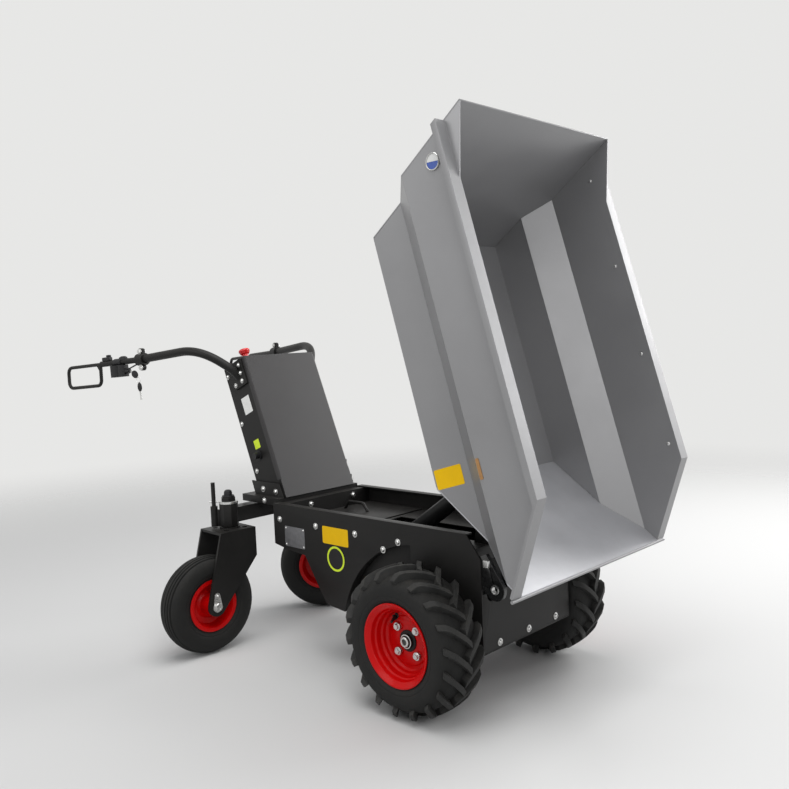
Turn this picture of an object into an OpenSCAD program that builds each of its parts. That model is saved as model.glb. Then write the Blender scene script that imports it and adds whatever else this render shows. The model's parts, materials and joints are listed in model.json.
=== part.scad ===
// Walk-behind electric site dumper with a forward-tipping tub, shown tipped.
// Millimetres, +Z up, +X towards the tipping end, origin under the middle of the whole box.
// The layout is worked out from the ground point under the drive axle, then centred.

/* [Tub] */
// Length of the flat tub floor
floor_len = 699; // [600:1:800]
// Half width of the tub over its lower walls
floor_half = 270; // [230:1:300]
// Height of the lower walls, up to the first fold
lower_wall_h = 124; // [80:1:150]
// Height of the second fold, where the upper wall starts
upper_wall_z = 204; // [170:1:240]
// Half width of the tub over its upper walls
upper_half = 337; // [310:1:360]
// Height of the rim above the floor
rim_h = 375; // [330:1:420]
// Height of the rear board's top above the floor
board_h = 432; // [430:1:470]
// Height of the pouring lip above the floor
lip_h = 233; // [215:1:260]
// Lean of the rear board, degrees
board_lean = 20.7; // [15:0.1:25]
// Slope of the front chute from the vertical, degrees
chute_slope = 51.7; // [45:0.1:56]
// Set-back of the rim's front end from the lip
rim_setback = 216; // [150:1:260]
// Width of the rim's outward flange
rim_flange = 34; // [20:1:45]
// Depth of the rim's turned-down lip
rim_lip = 18; // [10:1:30]
// Thickness of the tub's sheet
tub_t = 4; // [3:0.5:6]
// Thickness of the bearers under the tub's floor
bearer_t = 7; // [4:0.5:8]

/* [Tipping] */
// Tipping angle in the pose shown, degrees
tip_angle = 74; // [60:1:80]
// Tub hinge, ahead of the drive axle
hinge_x = 132; // [120:1:150]
// Height of the tub hinge
hinge_z = 520; // [515:1:540]
// Floor's front fold, behind the hinge
fold_back = 100; // [80:1:120]
// Underside of the floor, below the hinge
floor_drop = 23; // [10:1:27]
// Diameter of the hinge shaft
shaft_d = 25; // [18:1:30]
// Half the distance between the tub's hinge arms
arm_half = 115; // [95:1:130]
// Thickness of the hinge arms and posts
arm_t = 10; // [6:1:12]
// Ram's foot pin, behind the drive axle
ram_foot_back = 340; // [310:1:360]
// Height of the ram's foot pin
ram_foot_z = 350; // [330:1:370]
// Diameter of the ram's barrel
ram_d = 52; // [44:1:60]
// Diameter of the ram's rod
rod_d = 24; // [18:1:28]

/* [Chassis] */
// Half width over the side plates
side_half = 204; // [190:1:215]
// Thickness of the chassis plates
plate_t = 4; // [3:0.5:6]
// Height of the side plates' top edge
deck_top = 484; // [470:1:486]
// Rear end of the chassis, behind the drive axle
rear_back = 697; // [680:1:720]
// Front face of the chassis, ahead of the drive axle
front_x = 165; // [155:1:175]
// Lowest edge of the chassis
belly_z = 165; // [140:1:185]
// Height of the deck inside the side plates
deck_z = 428; // [415:1:436]
// Lower edge of the side plates at the rear
rear_skirt_z = 343; // [335:1:360]

/* [Drive wheels] */
// Diameter of a drive tyre over its lugs
drive_d = 408; // [380:1:420]
// Width of a drive tyre
drive_w = 150; // [140:1:156]
// Distance between the drive wheels' middle planes
drive_track = 600; // [590:1:640]
// Diameter of a drive rim's flange
drive_rim_d = 226; // [210:1:250]
// Diameter of the drive axle
axle_d = 30; // [24:1:36]

/* [Casters] */
// Diameter of a caster tyre
caster_d = 320; // [300:1:320]
// Width of a caster tyre
caster_w = 100; // [80:1:102]
// Diameter of a caster rim's flange
caster_rim_d = 172; // [150:1:185]
// Trail of a caster behind its swivel
caster_trail = 102; // [90:1:104]
// Half the distance between the swivels
swivel_half = 268; // [268:1:290]
// Swivels, behind the drive axle
swivel_back = 857; // [850:1:865]
// Turn of the right caster in the pose shown, degrees
turn_right = 87; // [60:1:90]
// Turn of the left caster in the pose shown, degrees
turn_left = 45; // [0:1:90]
// Diameter of the swivel stem
stem_d = 40; // [30:1:44]
// Thickness of the fork plates
fork_t = 8; // [6:1:10]
// Diameter of the caster axle
caster_axle_d = 20; // [16:1:24]

/* [Console] */
// Half width of the console
console_half = 154; // [130:1:165]
// Depth of the console, front to back
console_depth = 131; // [110:1:150]
// Length of the console's front face
console_len = 514; // [470:1:560]
// Lean of the console, degrees
console_lean = 21.9; // [18:0.1:25]
// Front foot of the console, behind the drive axle
console_back_x = 690; // [688:1:700]
// Height of the console's foot
console_z = 493; // [490:1:500]

/* [Handlebars] */
// Diameter of the handlebar tube
bar_d = 30; // [26:1:34]
// Diameter of the grip rod at the handlebar's end
grip_d = 22; // [18:1:25]
// Rear end of the hand guards, behind the drive axle
bar_back = 1720; // [1650:1:1800]
// Half the distance between the handlebar ends
bar_half = 385; // [340:1:450]
// Rise of the handlebars' bend above the console's top
bar_rise = 16; // [10:1:40]
// Drop of the handlebars from the bend to their ends
bar_drop = 40; // [0:1:80]
// Length of a grip, from the clamp to its hand guard
grip_len = 214; // [170:1:240]
// Length of a hand guard along its bar
guard_len = 198; // [150:1:230]
// Drop of a hand guard below its bar
guard_drop = 80; // [66:1:95]
// Diameter of the hand guard's rod
guard_d = 13; // [10:1:15]

/* [Hidden] */
$fn = 64;
RIGHT = -1;
LEFT = 1;
GREY = [0.54, 0.54, 0.55];
BLACK = [0.16, 0.155, 0.15];
RED = [0.84, 0.03, 0.04];
RUBBER = [0.11, 0.11, 0.11];
STEEL = [0.72, 0.72, 0.72];
// Gap between parts that only touch, and between a shaft and its bore
fit_gap = 0.3;
// Gap between parts that move past each other
run_gap = 6;

// Tub profile in the tub's own frame: u forward from the hinge, w up from the hinge
u_front = -fold_back;
u_rear = u_front - floor_len;
w_floor = -floor_drop;
w_rim = w_floor + rim_h;
w_board = w_floor + board_h;
w_lip = w_floor + lip_h;
u_lip = u_front + lip_h * tan(chute_slope);
u_rim = u_lip - rim_setback;
chute_band = tub_t / cos(chute_slope);
board_band = tub_t / cos(board_lean);
flange_half = upper_half + rim_flange;
ear_foot = u_rear + 8;

// Wheels, casters and swivels
drive_r = drive_d / 2;
caster_r = caster_d / 2;
axle_z = drive_r;
wheel_y = drive_track / 2;
crown_z = caster_d + 68;
crown_front = 60;
crown_rear = -74;
fork_foot_r = 32;
fork_brow_z = crown_z - 88;
sleeve_z = crown_z + fork_t + run_gap;
sleeve_h = 76;
sleeve_r = stem_d / 2 + 12;
beam_h = 50;
beam_z = sleeve_z + 12;
pin_d = 30;
pin_z = beam_z + beam_h / 2;
shelf_t = 5;
shelf_half = 180;
lock_reach = sleeve_r + 18;
lock_r = 7;
leg_gap = caster_w / 2 + run_gap;
// Half width of the flat middle of a caster's tread
tread_half = 10;

// Ram: the rod's eye stands on the tub's pin in the pose shown
ram_pin_u = -110;
ram_pin_w = -62;
ram_pin_x = hinge_x + ram_pin_u * cos(tip_angle) + ram_pin_w * sin(tip_angle);
ram_pin_z = hinge_z - ram_pin_u * sin(tip_angle) + ram_pin_w * cos(tip_angle);
ram_dx = ram_pin_x + ram_foot_back;
ram_dz = ram_pin_z - ram_foot_z;
ram_len = norm([ram_dx, ram_dz]);
ram_rise = atan2(ram_dz, ram_dx);
ram_low_dx = hinge_x + ram_pin_u + ram_foot_back;
ram_low_dz = hinge_z + ram_pin_w - ram_foot_z;
ram_stroke = ram_len - norm([ram_low_dx, ram_low_dz]);
ram_pin_d = 20;
ram_eye_r = 18;
ram_eye_w = 26;
ram_barrel_len = ram_len - ram_stroke - 50;

// Console and handlebar points, on the left side
bracket_t = 8;
console_top = [-console_back_x - console_len * sin(console_lean),
               console_z + console_len * cos(console_lean)];
bar_root = [console_top[0] - 26, console_half + bracket_t + bar_d / 2 + fit_gap, console_top[1] - 57];
bar_bend = [console_top[0] - 159, console_half + 111, console_top[1] + bar_rise];
guard_r = guard_d / 2;
guard_end = [-bar_back, bar_half, bar_bend[2] - bar_drop];
bar_dir = unit(guard_end - bar_bend);
guard_front = guard_end - guard_len * bar_dir;
bar_end = guard_front - (grip_len + guard_r) * bar_dir;

// The whole box: front and rear reach, right and left reach
front_reach = hinge_x + u_rim * cos(tip_angle) + w_rim * sin(tip_angle);
rear_reach = bar_back + guard_r;
right_reach = swivel_half + (caster_trail + caster_r) * sin(turn_right) + tread_half * cos(turn_right);
left_reach = max(bar_half + guard_r, flange_half, wheel_y + drive_w / 2);
mid_x = (front_reach - rear_reach) / 2;
mid_y = (left_reach - right_reach) / 2;

// Frames
module centred() {
  translate([-mid_x, -mid_y, 0]) children();
}
module tub_frame() {
  centred() translate([hinge_x, 0, hinge_z]) rotate([0, tip_angle, 0]) children();
}
module ram_frame() {
  centred() translate([-ram_foot_back, 0, ram_foot_z]) rotate([0, -ram_rise, 0]) children();
}
module wheel_frame(side) {
  centred() translate([0, side * wheel_y, axle_z]) rotate([side * -90, 0, 0]) children();
}
module swivel_frame(side) {
  turn = side == RIGHT ? turn_right : turn_left;
  centred() translate([-swivel_back, side * swivel_half, 0]) rotate([0, 0, turn]) children();
}
module caster_wheel_frame(side) {
  swivel_frame(side) translate([-caster_trail, 0, caster_r]) rotate([90, 0, 0]) children();
}
module console_frame() {
  centred() translate([-console_back_x, 0, console_z]) rotate([0, -console_lean, 0]) children();
}

// Shapes used more than once
// Points of an arc about c, from angle a0 to a1
function arc(c, r, a0, a1, steps = 8) =
  [for (i = [0 : steps]) c + r * [cos(a0 + (a1 - a0) * i / steps), sin(a0 + (a1 - a0) * i / steps)]];
// Angle of the point where the tangent from p touches the circle about c, on the side given by turn
function touch_angle(p, c, r, turn) =
  atan2(p[1] - c[1], p[0] - c[0]) + turn * acos(r / norm(p - c));
// Rectangle with round corners
function round_rect(low, high, r) =
  concat(arc([high[0] - r, high[1] - r], r, 0, 90, 4), arc([low[0] + r, high[1] - r], r, 90, 180, 4),
         arc([low[0] + r, low[1] + r], r, 180, 270, 4), arc([high[0] - r, low[1] + r], r, 270, 360, 4));
// Plate in the XZ plane, from y0 to y1
module plate_xz(points, y0, y1) {
  translate([0, y1, 0]) rotate([90, 0, 0]) linear_extrude(y1 - y0) polygon(points);
}
// Bar of a section in the YZ plane, from x0 to x1
module bar_yz(points, x0, x1) {
  translate([x0, 0, 0]) rotate([90, 0, 90]) linear_extrude(x1 - x0) polygon(points);
}
module box(low, high) {
  translate(low) cube(high - low);
}
// Round bar between two points
module rod(p, q, r) {
  d = q - p;
  translate(p) rotate([0, acos(d[2] / norm(d)), atan2(d[1], d[0])]) cylinder(h = norm(d), r = r);
}
// Cylinder across the machine, from y0 to y1
module cross_rod(x, z, r, y0, y1) {
  translate([x, y0, z]) rotate([-90, 0, 0]) cylinder(h = y1 - y0, r = r);
}
function flip(p, side) = [p[0], side * p[1], p[2]];
function unit(v) = v / norm(v);
// Points of the arc that rounds the corner b of the path a, b, c
function corner_arc(a, b, c, r, steps = 6) =
  let (to_a = unit(a - b), to_c = unit(c - b), half = acos(to_a * to_c) / 2,
       centre = b + unit(to_a + to_c) * r / sin(half), turn = 180 - 2 * half,
       from = b + to_a * r / tan(half) - centre, to = b + to_c * r / tan(half) - centre)
  [for (i = [0 : steps]) centre + (sin(turn * (1 - i / steps)) * from + sin(turn * i / steps) * to) / sin(turn)];
// Path through the points with every inner corner rounded
function rounded_path(points, r) =
  [points[0],
   for (i = [1 : len(points) - 2]) each corner_arc(points[i - 1], points[i], points[i + 1], r),
   points[len(points) - 1]];
function heading(path, i) =
  unit(path[min(i + 1, len(path) - 1)] - path[max(i - 1, 0)]);
// Round tube along a flat path whose plane has the given normal
module tube(path, normal, r, sides, closed = false) {
  n = len(path);
  function way(i) = closed ? unit(path[(i + 1) % n] - path[(i + n - 1) % n]) : heading(path, i);
  rings = [for (i = [0 : n - 1], k = [0 : sides - 1])
    let (across = cross(way(i), normal))
    path[i] + r * (cos(360 * k / sides) * normal + sin(360 * k / sides) * across)];
  walls = [for (i = [0 : closed ? n - 1 : n - 2], k = [0 : sides - 1])
    let (a = i * sides, b = (i + 1) % n * sides, next = (k + 1) % sides)
    [a + k, a + next, b + next, b + k]];
  ends = closed ? []
    : [[for (k = [0 : sides - 1]) sides - 1 - k], [for (k = [0 : sides - 1]) (n - 1) * sides + k]];
  polyhedron(rings, concat(walls, ends));
}

// Chassis
arch_c = [-49, axle_z - 105];
arch_r = 331;
arch_front_x = -84;
arch_angle = [165.5, 96.1];
side_outline = concat(
  [[-rear_back, deck_top], [hinge_x - 13, deck_top], [front_x, deck_top - 62],
   [front_x, belly_z], [arch_front_x, belly_z]],
  arc(arch_c, arch_r, arch_angle[1], arch_angle[0]),
  [[-450, belly_z + 25], [-481, belly_z + 67], [-546, rear_skirt_z - 12],
   [-636, rear_skirt_z - 4], [-rear_back, rear_skirt_z + 7]]);
flange_in = 26;
arch_lip = 24;
lip_angle = 107;
module side_plate(side) {
  color(BLACK) centred() mirror([0, side == RIGHT ? 1 : 0, 0]) union() {
    difference() {
      plate_xz(side_outline, side_half - plate_t, side_half);
      cross_rod(0, axle_z, axle_d / 2 + 17, 0, side_half + 1);
    }
    box([-rear_back, side_half - flange_in, deck_top - plate_t], [hinge_x - 13, side_half, deck_top]);
    plate_xz(concat(arc(arch_c, arch_r, lip_angle, arch_angle[0]),
                    arc(arch_c, arch_r + plate_t, arch_angle[0], lip_angle)),
             side_half - arch_lip, side_half);
  }
}
inner_half = side_half - plate_t;
front_top = 326;
module front_plate() {
  color(BLACK) centred() difference() {
    box([front_x - plate_t, -inner_half, belly_z + plate_t], [front_x, inner_half, front_top]);
    translate([front_x - 20, -inner_half + 42, front_top]) rotate([0, 90, 0]) cylinder(h = 40, r = 24);
  }
}
module rear_plate() {
  color(BLACK) centred()
    box([-rear_back, -inner_half, rear_skirt_z + 9], [-rear_back + plate_t, inner_half, deck_top - plate_t]);
}
module belly_pan() {
  color(BLACK) centred() box([arch_front_x, -inner_half, belly_z], [front_x, inner_half, belly_z + plate_t]);
}
tray_z = belly_z + 30;
tray_back = 478;
tray_half = inner_half - arch_lip - 8;
module battery_tray() {
  color(BLACK) centred() union() {
    box([-tray_back, -tray_half, tray_z], [arch_front_x, tray_half, tray_z + plate_t]);
    for (side = [RIGHT, LEFT])
      box([-tray_back, side * tray_half - plate_t / 2, tray_z],
          [arch_front_x, side * tray_half + plate_t / 2, deck_z - plate_t]);
    box([-tray_back, -tray_half, tray_z], [-tray_back + plate_t, tray_half, deck_z - plate_t]);
    box([arch_front_x - plate_t, -tray_half, tray_z], [arch_front_x, tray_half, deck_z - 98]);
  }
}
battery_in = 72;
module battery_pack() {
  color(RUBBER) centred() for (side = [RIGHT, LEFT])
    mirror([0, side == RIGHT ? 1 : 0, 0])
      box([-tray_back + plate_t, battery_in, tray_z + plate_t],
          [-110, tray_half - plate_t, deck_z - 14]);
}
module drive_unit() {
  color(RUBBER) centred() union() {
    box([-74, -118, belly_z + plate_t], [74, 118, axle_z + 122]);
    cross_rod(0, axle_z, axle_d / 2 + 15, -side_half - 12, side_half + 12);
    cross_rod(0, axle_z, axle_d / 2, -wheel_y - 30, wheel_y + 30);
  }
}
lid_x = [-640, -386];
well_x = [-372, 74];
well_half = 64;
module deck_tray() {
  color(BLACK) centred() difference() {
    union() {
      box([-rear_back + plate_t, -inner_half, deck_z - plate_t], [84, inner_half, deck_z]);
      box([-rear_back + plate_t, -inner_half, deck_z], [-rear_back + 36, inner_half, deck_top - plate_t]);
    }
    box([lid_x[0] + 14, -inner_half + 34, deck_z - 20], [lid_x[1] - 14, inner_half - 34, deck_z + 1]);
    box([well_x[0], -well_half, deck_z - 20], [well_x[1], well_half, deck_z + 1]);
  }
}
module bay_lid() {
  color(BLACK) centred()
    box([lid_x[0], -inner_half + 18, deck_z], [lid_x[1], inner_half - 18, deck_z + plate_t]);
}
handle_len = 110;
handle_h = 26;
handle_y = 46;
handle_r = 5;
module lid_handle() {
  z = deck_z + plate_t;
  x0 = lid_x[0] + 20;
  x1 = x0 + handle_len;
  grip = [[x0, handle_y, z], [x0 + 20, handle_y, z + handle_h],
          [x1 - 20, handle_y, z + handle_h], [x1, handle_y, z]];
  color(BLACK) centred() difference() {
    tube(rounded_path(grip, 10), [0, 1, 0], handle_r, 12);
    box([x0 - 20, 0, z - 20], [x1 + 20, inner_half, z]);
  }
}

// Tub hinge on the chassis
post_in = arm_half + arm_t / 2 + run_gap;
cross_x = [hinge_x - 46, hinge_x + 8];
cross_z = [deck_top - 79, deck_top - 39];
hinge_eye_r = shaft_d / 2 + 11.5;
module hinge_frame() {
  color(BLACK) centred() difference() {
    union() {
      box([cross_x[0], -inner_half, cross_z[0]], [cross_x[1], inner_half, cross_z[1]]);
      for (side = [RIGHT, LEFT]) {
        y0 = side == LEFT ? post_in : -post_in - arm_t;
        plate_xz([[cross_x[0] + 4, cross_z[1] - 5], [cross_x[1], cross_z[1] - 5],
                  [hinge_x + hinge_eye_r, hinge_z], [hinge_x - hinge_eye_r, hinge_z]], y0, y0 + arm_t);
        cross_rod(hinge_x, hinge_z, hinge_eye_r, y0, y0 + arm_t);
      }
    }
    cross_rod(hinge_x, hinge_z, shaft_d / 2 + fit_gap, -inner_half, inner_half);
  }
}
module tip_shaft() {
  reach = post_in + arm_t + 12;
  color(STEEL) centred() cross_rod(hinge_x, hinge_z, shaft_d / 2, -reach, reach);
}
ram_ear_in = ram_eye_w / 2 + 4;
module ram_bracket() {
  color(BLACK) centred() union() {
    for (side = [RIGHT, LEFT]) {
      y0 = side == LEFT ? ram_ear_in : -ram_ear_in - plate_t * 2;
      plate_xz([[-ram_foot_back - 60, tray_z + plate_t], [-ram_foot_back + 60, tray_z + plate_t],
                [-ram_foot_back + 22, ram_foot_z + 22], [-ram_foot_back - 22, ram_foot_z + 22]],
               y0, y0 + plate_t * 2);
    }
    cross_rod(-ram_foot_back, ram_foot_z, ram_pin_d / 2, -ram_ear_in - 14, ram_ear_in + 14);
  }
}
eye_t = 12;
eye_r = 30;
eye_x = front_x + 41;
eye_z = front_top + 22;
eye_hole_d = 22;
module lashing_eye(side) {
  c = [eye_x, eye_z];
  brow = [front_x + 16, eye_z + 90];
  heel = [front_x - 22, eye_z + 12];
  outline = concat([heel, [front_x - 22, eye_z + 76], brow],
                   arc(c, eye_r, touch_angle(brow, c, eye_r, -1), touch_angle(heel, c, eye_r, 1) - 360, 14));
  color(BLACK) centred() mirror([0, side == RIGHT ? 1 : 0, 0]) difference() {
    plate_xz(outline, inner_half - eye_t, inner_half);
    cross_rod(eye_x, eye_z, eye_hole_d / 2, 0, side_half);
  }
}

// Rear shelf and caster beam
module rear_shelf() {
  shelf_rear = swivel_back + beam_h / 2 + 16;
  color(BLACK) centred() difference() {
    union() {
      box([-shelf_rear, -shelf_half, console_z - shelf_t], [-rear_back, shelf_half, console_z]);
      box([-rear_back - shelf_t, -shelf_half, console_z - 54], [-rear_back, shelf_half, console_z]);
      for (side = [RIGHT, LEFT]) mirror([0, side == RIGHT ? 1 : 0, 0]) {
        box([-shelf_rear, shelf_half - plate_t, console_z - 24], [-rear_back, shelf_half, console_z]);
        plate_xz([[-shelf_rear + 46, console_z], [-rear_back - 2, console_z],
                  [-rear_back - 22, console_z + 46], [-shelf_rear + 28, console_z + 46]],
                 console_half + fit_gap, console_half + fit_gap + plate_t);
      }
      for (x = [-swivel_back - beam_h / 2 - 9, -swivel_back + beam_h / 2 + 1])
        box([x, -42, pin_z - 28], [x + 8, 42, console_z]);
    }
    translate([-shelf_rear - 1, 0, pin_z]) rotate([0, 90, 0])
      cylinder(h = shelf_rear - rear_back + 2, r = pin_d / 2 + fit_gap);
  }
}
module beam_pin() {
  color(STEEL) centred() translate([-swivel_back - beam_h / 2 - 26, 0, pin_z]) rotate([0, 90, 0])
    cylinder(h = swivel_back + beam_h / 2 + 26 - rear_back, r = pin_d / 2);
}
lock_dir = [-0.7, 0.7];
module axle_beam() {
  color(BLACK) centred() difference() {
    union() {
      box([-swivel_back - beam_h / 2, -swivel_half, beam_z],
          [-swivel_back + beam_h / 2, swivel_half, beam_z + beam_h]);
      for (side = [RIGHT, LEFT]) translate([-swivel_back, side * swivel_half, sleeve_z]) {
        rotate([0, 0, 22.5]) cylinder(h = sleeve_h, r = sleeve_r, $fn = 8);
        translate([lock_dir[0] * lock_reach, side * lock_dir[1] * lock_reach, 0])
          cylinder(h = sleeve_h - 8, r = lock_r + 5);
        rotate([0, 0, side * 135]) translate([sleeve_r - 6, -5, 0]) cube([18, 10, sleeve_h - 20]);
      }
    }
    for (side = [RIGHT, LEFT]) translate([-swivel_back, side * swivel_half, sleeve_z - 1]) {
      cylinder(h = sleeve_h + 2, r = stem_d / 2 + fit_gap);
      translate([lock_dir[0] * lock_reach, side * lock_dir[1] * lock_reach, 0])
        cylinder(h = sleeve_h, r = lock_r + fit_gap);
    }
    translate([-swivel_back - beam_h, 0, pin_z]) rotate([0, 90, 0])
      cylinder(h = 2 * beam_h, r = pin_d / 2 + fit_gap);
  }
}
module lock_pin(side) {
  color(BLACK) centred()
    translate([-swivel_back + lock_dir[0] * lock_reach,
               side * (swivel_half + lock_dir[1] * lock_reach), sleeve_z])
      cylinder(h = 148, r = lock_r);
}

// Console
console_under = 80;
module under_console() {
  span = console_depth + console_under;
  centred() box([-console_back_x - span, -console_half - 1, console_z - span],
                [-console_back_x + span, console_half + 1, console_z]);
}
module console_shell() {
  color(BLACK) difference() {
    console_frame() difference() {
      translate([-console_depth, -console_half, -console_under])
        cube([console_depth, 2 * console_half, console_len + console_under]);
      translate([-console_depth - 1, -console_half + plate_t, -console_under - 1])
        cube([console_depth + 1 - plate_t, 2 * console_half - 2 * plate_t, console_len + console_under + 1 - plate_t]);
    }
    under_console();
  }
}
module console_cover() {
  color(BLACK) difference() {
    console_frame()
      translate([-console_depth, -console_half + plate_t, -console_under])
        cube([plate_t, 2 * console_half - 2 * plate_t, console_len + console_under - plate_t]);
    under_console();
  }
}
module emergency_stop() {
  profile = concat([[0, 0], [15, 0], [15, 15], [11, 16], [11, 23], [16, 27], [20, 36]],
                   arc([14, 38], 6, 0, 80, 4), [[0, 45]]);
  color(RED) console_frame() translate([-52, -106, console_len]) rotate_extrude() polygon(profile);
}
module selector_knob() {
  color(BLACK) console_frame() translate([-62, -30, console_len]) union() {
    cylinder(h = 6, r = 13);
    translate([0, 0, 6]) cylinder(h = 16, r = 9);
  }
}
socket_z = 175;
module side_socket() {
  color(BLACK) console_frame() translate([-74, -console_half, socket_z]) rotate([90, 0, 0]) union() {
    cylinder(h = 6, r = 16);
    translate([0, 0, 6]) cylinder(h = 16, r = 11);
  }
}

// Handlebars
collar_len = 18;
module bar_bracket(side) {
  y0 = side == LEFT ? console_half : -console_half - bracket_t;
  root = flip(bar_root, side);
  along = unit(flip(bar_bend, side) - root);
  color(BLACK) centred() difference() {
    union() {
      translate([bar_root[0], y0, bar_root[2]]) rotate([0, -console_lean, 0])
        translate([-44, 0, -50]) cube([74, bracket_t, 92]);
      rod(root - 12 * along, root + collar_len * along, bar_d / 2 + 5);
    }
    rod(root, root + 60 * along, bar_d / 2 + fit_gap);
    box([root[0] - 90, -console_half, root[2] - 90], [root[0] + 90, console_half, root[2] + 90]);
  }
}
bar_bend_r = 110;
module handlebar(side) {
  points = [for (p = [bar_root, bar_bend, bar_end]) flip(p, side)];
  normal = unit(cross(points[1] - points[0], points[2] - points[1]));
  color(BLACK) centred() tube(rounded_path(points, bar_bend_r), normal, bar_d / 2, 24);
}
clamp_len = 38;
clamp_r = bar_d / 2 + 7;
clamp_lug = 38;
module bar_clamp(side) {
  along = flip(bar_dir, side);
  end = flip(bar_end, side);
  color(BLACK) centred() difference() {
    union() {
      rod(end - clamp_len * along, end + fit_gap * along, clamp_r);
      translate(end - clamp_len / 2 * along) rotate([0, 0, atan2(along[1], along[0])])
        translate([-11, -6, -clamp_lug]) cube([22, 12, 2 * clamp_lug]);
    }
    rod(end - (clamp_len + 40) * along, end + 20 * along, bar_d / 2 + fit_gap);
  }
}
module grip(side) {
  end = flip(bar_end + fit_gap * bar_dir, side);
  front = flip(guard_front - (guard_r + fit_gap) * bar_dir, side);
  color(BLACK) centred() rod(end, front, grip_d / 2);
}
// Bend radii of a hand guard; the first, where the grip meets it, is tight
guard_bend_r = [grip_d / 2 - 1, 22, 22, 22];
module hand_guard(side) {
  drop = [0, 0, -guard_drop];
  p = [for (q = [guard_front, guard_end, guard_end + drop, guard_front + drop]) flip(q, side)];
  normal = unit(cross(p[1] - p[0], p[2] - p[1]));
  loop = [for (i = [0 : 3]) each corner_arc(p[(i + 3) % 4], p[i], p[(i + 1) % 4], guard_bend_r[i], 5)];
  color(BLACK) centred() tube(loop, normal, guard_r, 12, true);
}
// Things that hang under the right grip, at a distance from the clamp
module grip_hung(reach) {
  spot = flip(bar_end + reach * bar_dir, RIGHT);
  centred() translate(spot) rotate([0, -asin(bar_dir[2]), atan2(-bar_dir[1], bar_dir[0])])
    translate([0, 0, -grip_d / 2 - fit_gap]) children();
}
// Two-lobed switch pod under the right grip, with the key lock in its front face
pod_reach = 112;
pod_half = 38;
pod_drop = 44;
lock_len = 14;
module control_pod() {
  color(BLACK) grip_hung(pod_reach) translate([0, 0, -pod_drop]) linear_extrude(pod_drop) union() {
    polygon(round_rect([-pod_half, -17], [-2, 17], 12));
    polygon(round_rect([-6, -20], [pod_half, 20], 14));
  }
}
module key_switch() {
  color(BLACK) grip_hung(pod_reach)
    translate([-pod_half - lock_len, 0, -pod_drop / 2 - 2]) rotate([0, 90, 0]) cylinder(h = lock_len, r = 11);
}

// Tub, drawn in the tub's own frame
function chute_u(w) = u_front + (w - w_floor) * tan(chute_slope);
function board_u(w) = u_rear - (w - w_floor) * tan(board_lean);
fold_low = w_floor + lower_wall_h;
fold_high = w_floor + upper_wall_z;
tub_section = [[-floor_half, w_floor], [floor_half, w_floor], [floor_half, fold_low],
               [upper_half, fold_high], [upper_half, w_board],
               [-upper_half, w_board], [-upper_half, fold_high], [-floor_half, fold_low]];
side_shape = [[board_u(w_floor) + board_band, w_floor], [u_front - chute_band, w_floor],
              [u_lip - chute_band, w_lip], [u_rim, w_rim],
              [board_u(w_rim) + board_band, w_rim]];
module side_cut() {
  plate_xz(side_shape, -flange_half - 1, flange_half + 1);
}
module tub_floor() {
  section = [[-floor_half, w_floor], [floor_half, w_floor], [floor_half, fold_low],
             [floor_half - tub_t, fold_low], [floor_half - tub_t, w_floor + tub_t],
             [-floor_half + tub_t, w_floor + tub_t], [-floor_half + tub_t, fold_low],
             [-floor_half, fold_low]];
  color(GREY) tub_frame() intersection() {
    bar_yz(section, u_rear - board_h, u_lip);
    side_cut();
  }
}
module tub_wall(side) {
  section = [[floor_half, fold_low], [upper_half, fold_high], [upper_half, w_rim - tub_t],
             [flange_half - tub_t, w_rim - tub_t], [flange_half - tub_t, w_rim - rim_lip],
             [flange_half, w_rim - rim_lip], [flange_half, w_rim],
             [upper_half - tub_t, w_rim], [upper_half - tub_t, fold_high],
             [floor_half - tub_t, fold_low]];
  ear = [[board_u(w_rim) + board_band, w_rim], [ear_foot, w_rim], [board_u(w_board) + board_band, w_board]];
  front_edge = [[u_lip - chute_band, w_lip], [u_rim, w_rim], [u_rim - 6, w_rim - tub_t],
                [u_lip - chute_band - 6, w_lip - tub_t]];
  color(GREY) tub_frame() mirror([0, side == RIGHT ? 1 : 0, 0]) union() {
    intersection() {
      bar_yz(section, u_rear - board_h, u_lip);
      side_cut();
    }
    plate_xz(ear, upper_half - tub_t, upper_half);
    plate_xz(front_edge, upper_half - tub_t, flange_half);
  }
}
module tub_board() {
  slab = [[board_u(w_floor), w_floor], [board_u(w_floor) + board_band, w_floor],
          [board_u(w_board) + board_band, w_board], [board_u(w_board), w_board]];
  color(GREY) tub_frame() intersection() {
    plate_xz(slab, -flange_half, flange_half);
    bar_yz(tub_section, u_rear - board_h, u_lip);
  }
}
module tub_chute() {
  slab = [[u_front - chute_band, w_floor], [u_front, w_floor], [u_lip, w_lip], [u_lip - chute_band, w_lip]];
  color(GREY) tub_frame() intersection() {
    plate_xz(slab, -flange_half, flange_half);
    bar_yz(tub_section, u_rear - board_h, u_lip + 10);
  }
}
bearer_half = 185;
module tub_bearers() {
  color(GREY) tub_frame() for (side = [RIGHT, LEFT])
    translate([u_rear + 40, side * bearer_half - 20, w_floor - bearer_t]) cube([floor_len - 60, 40, bearer_t]);
}
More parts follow.
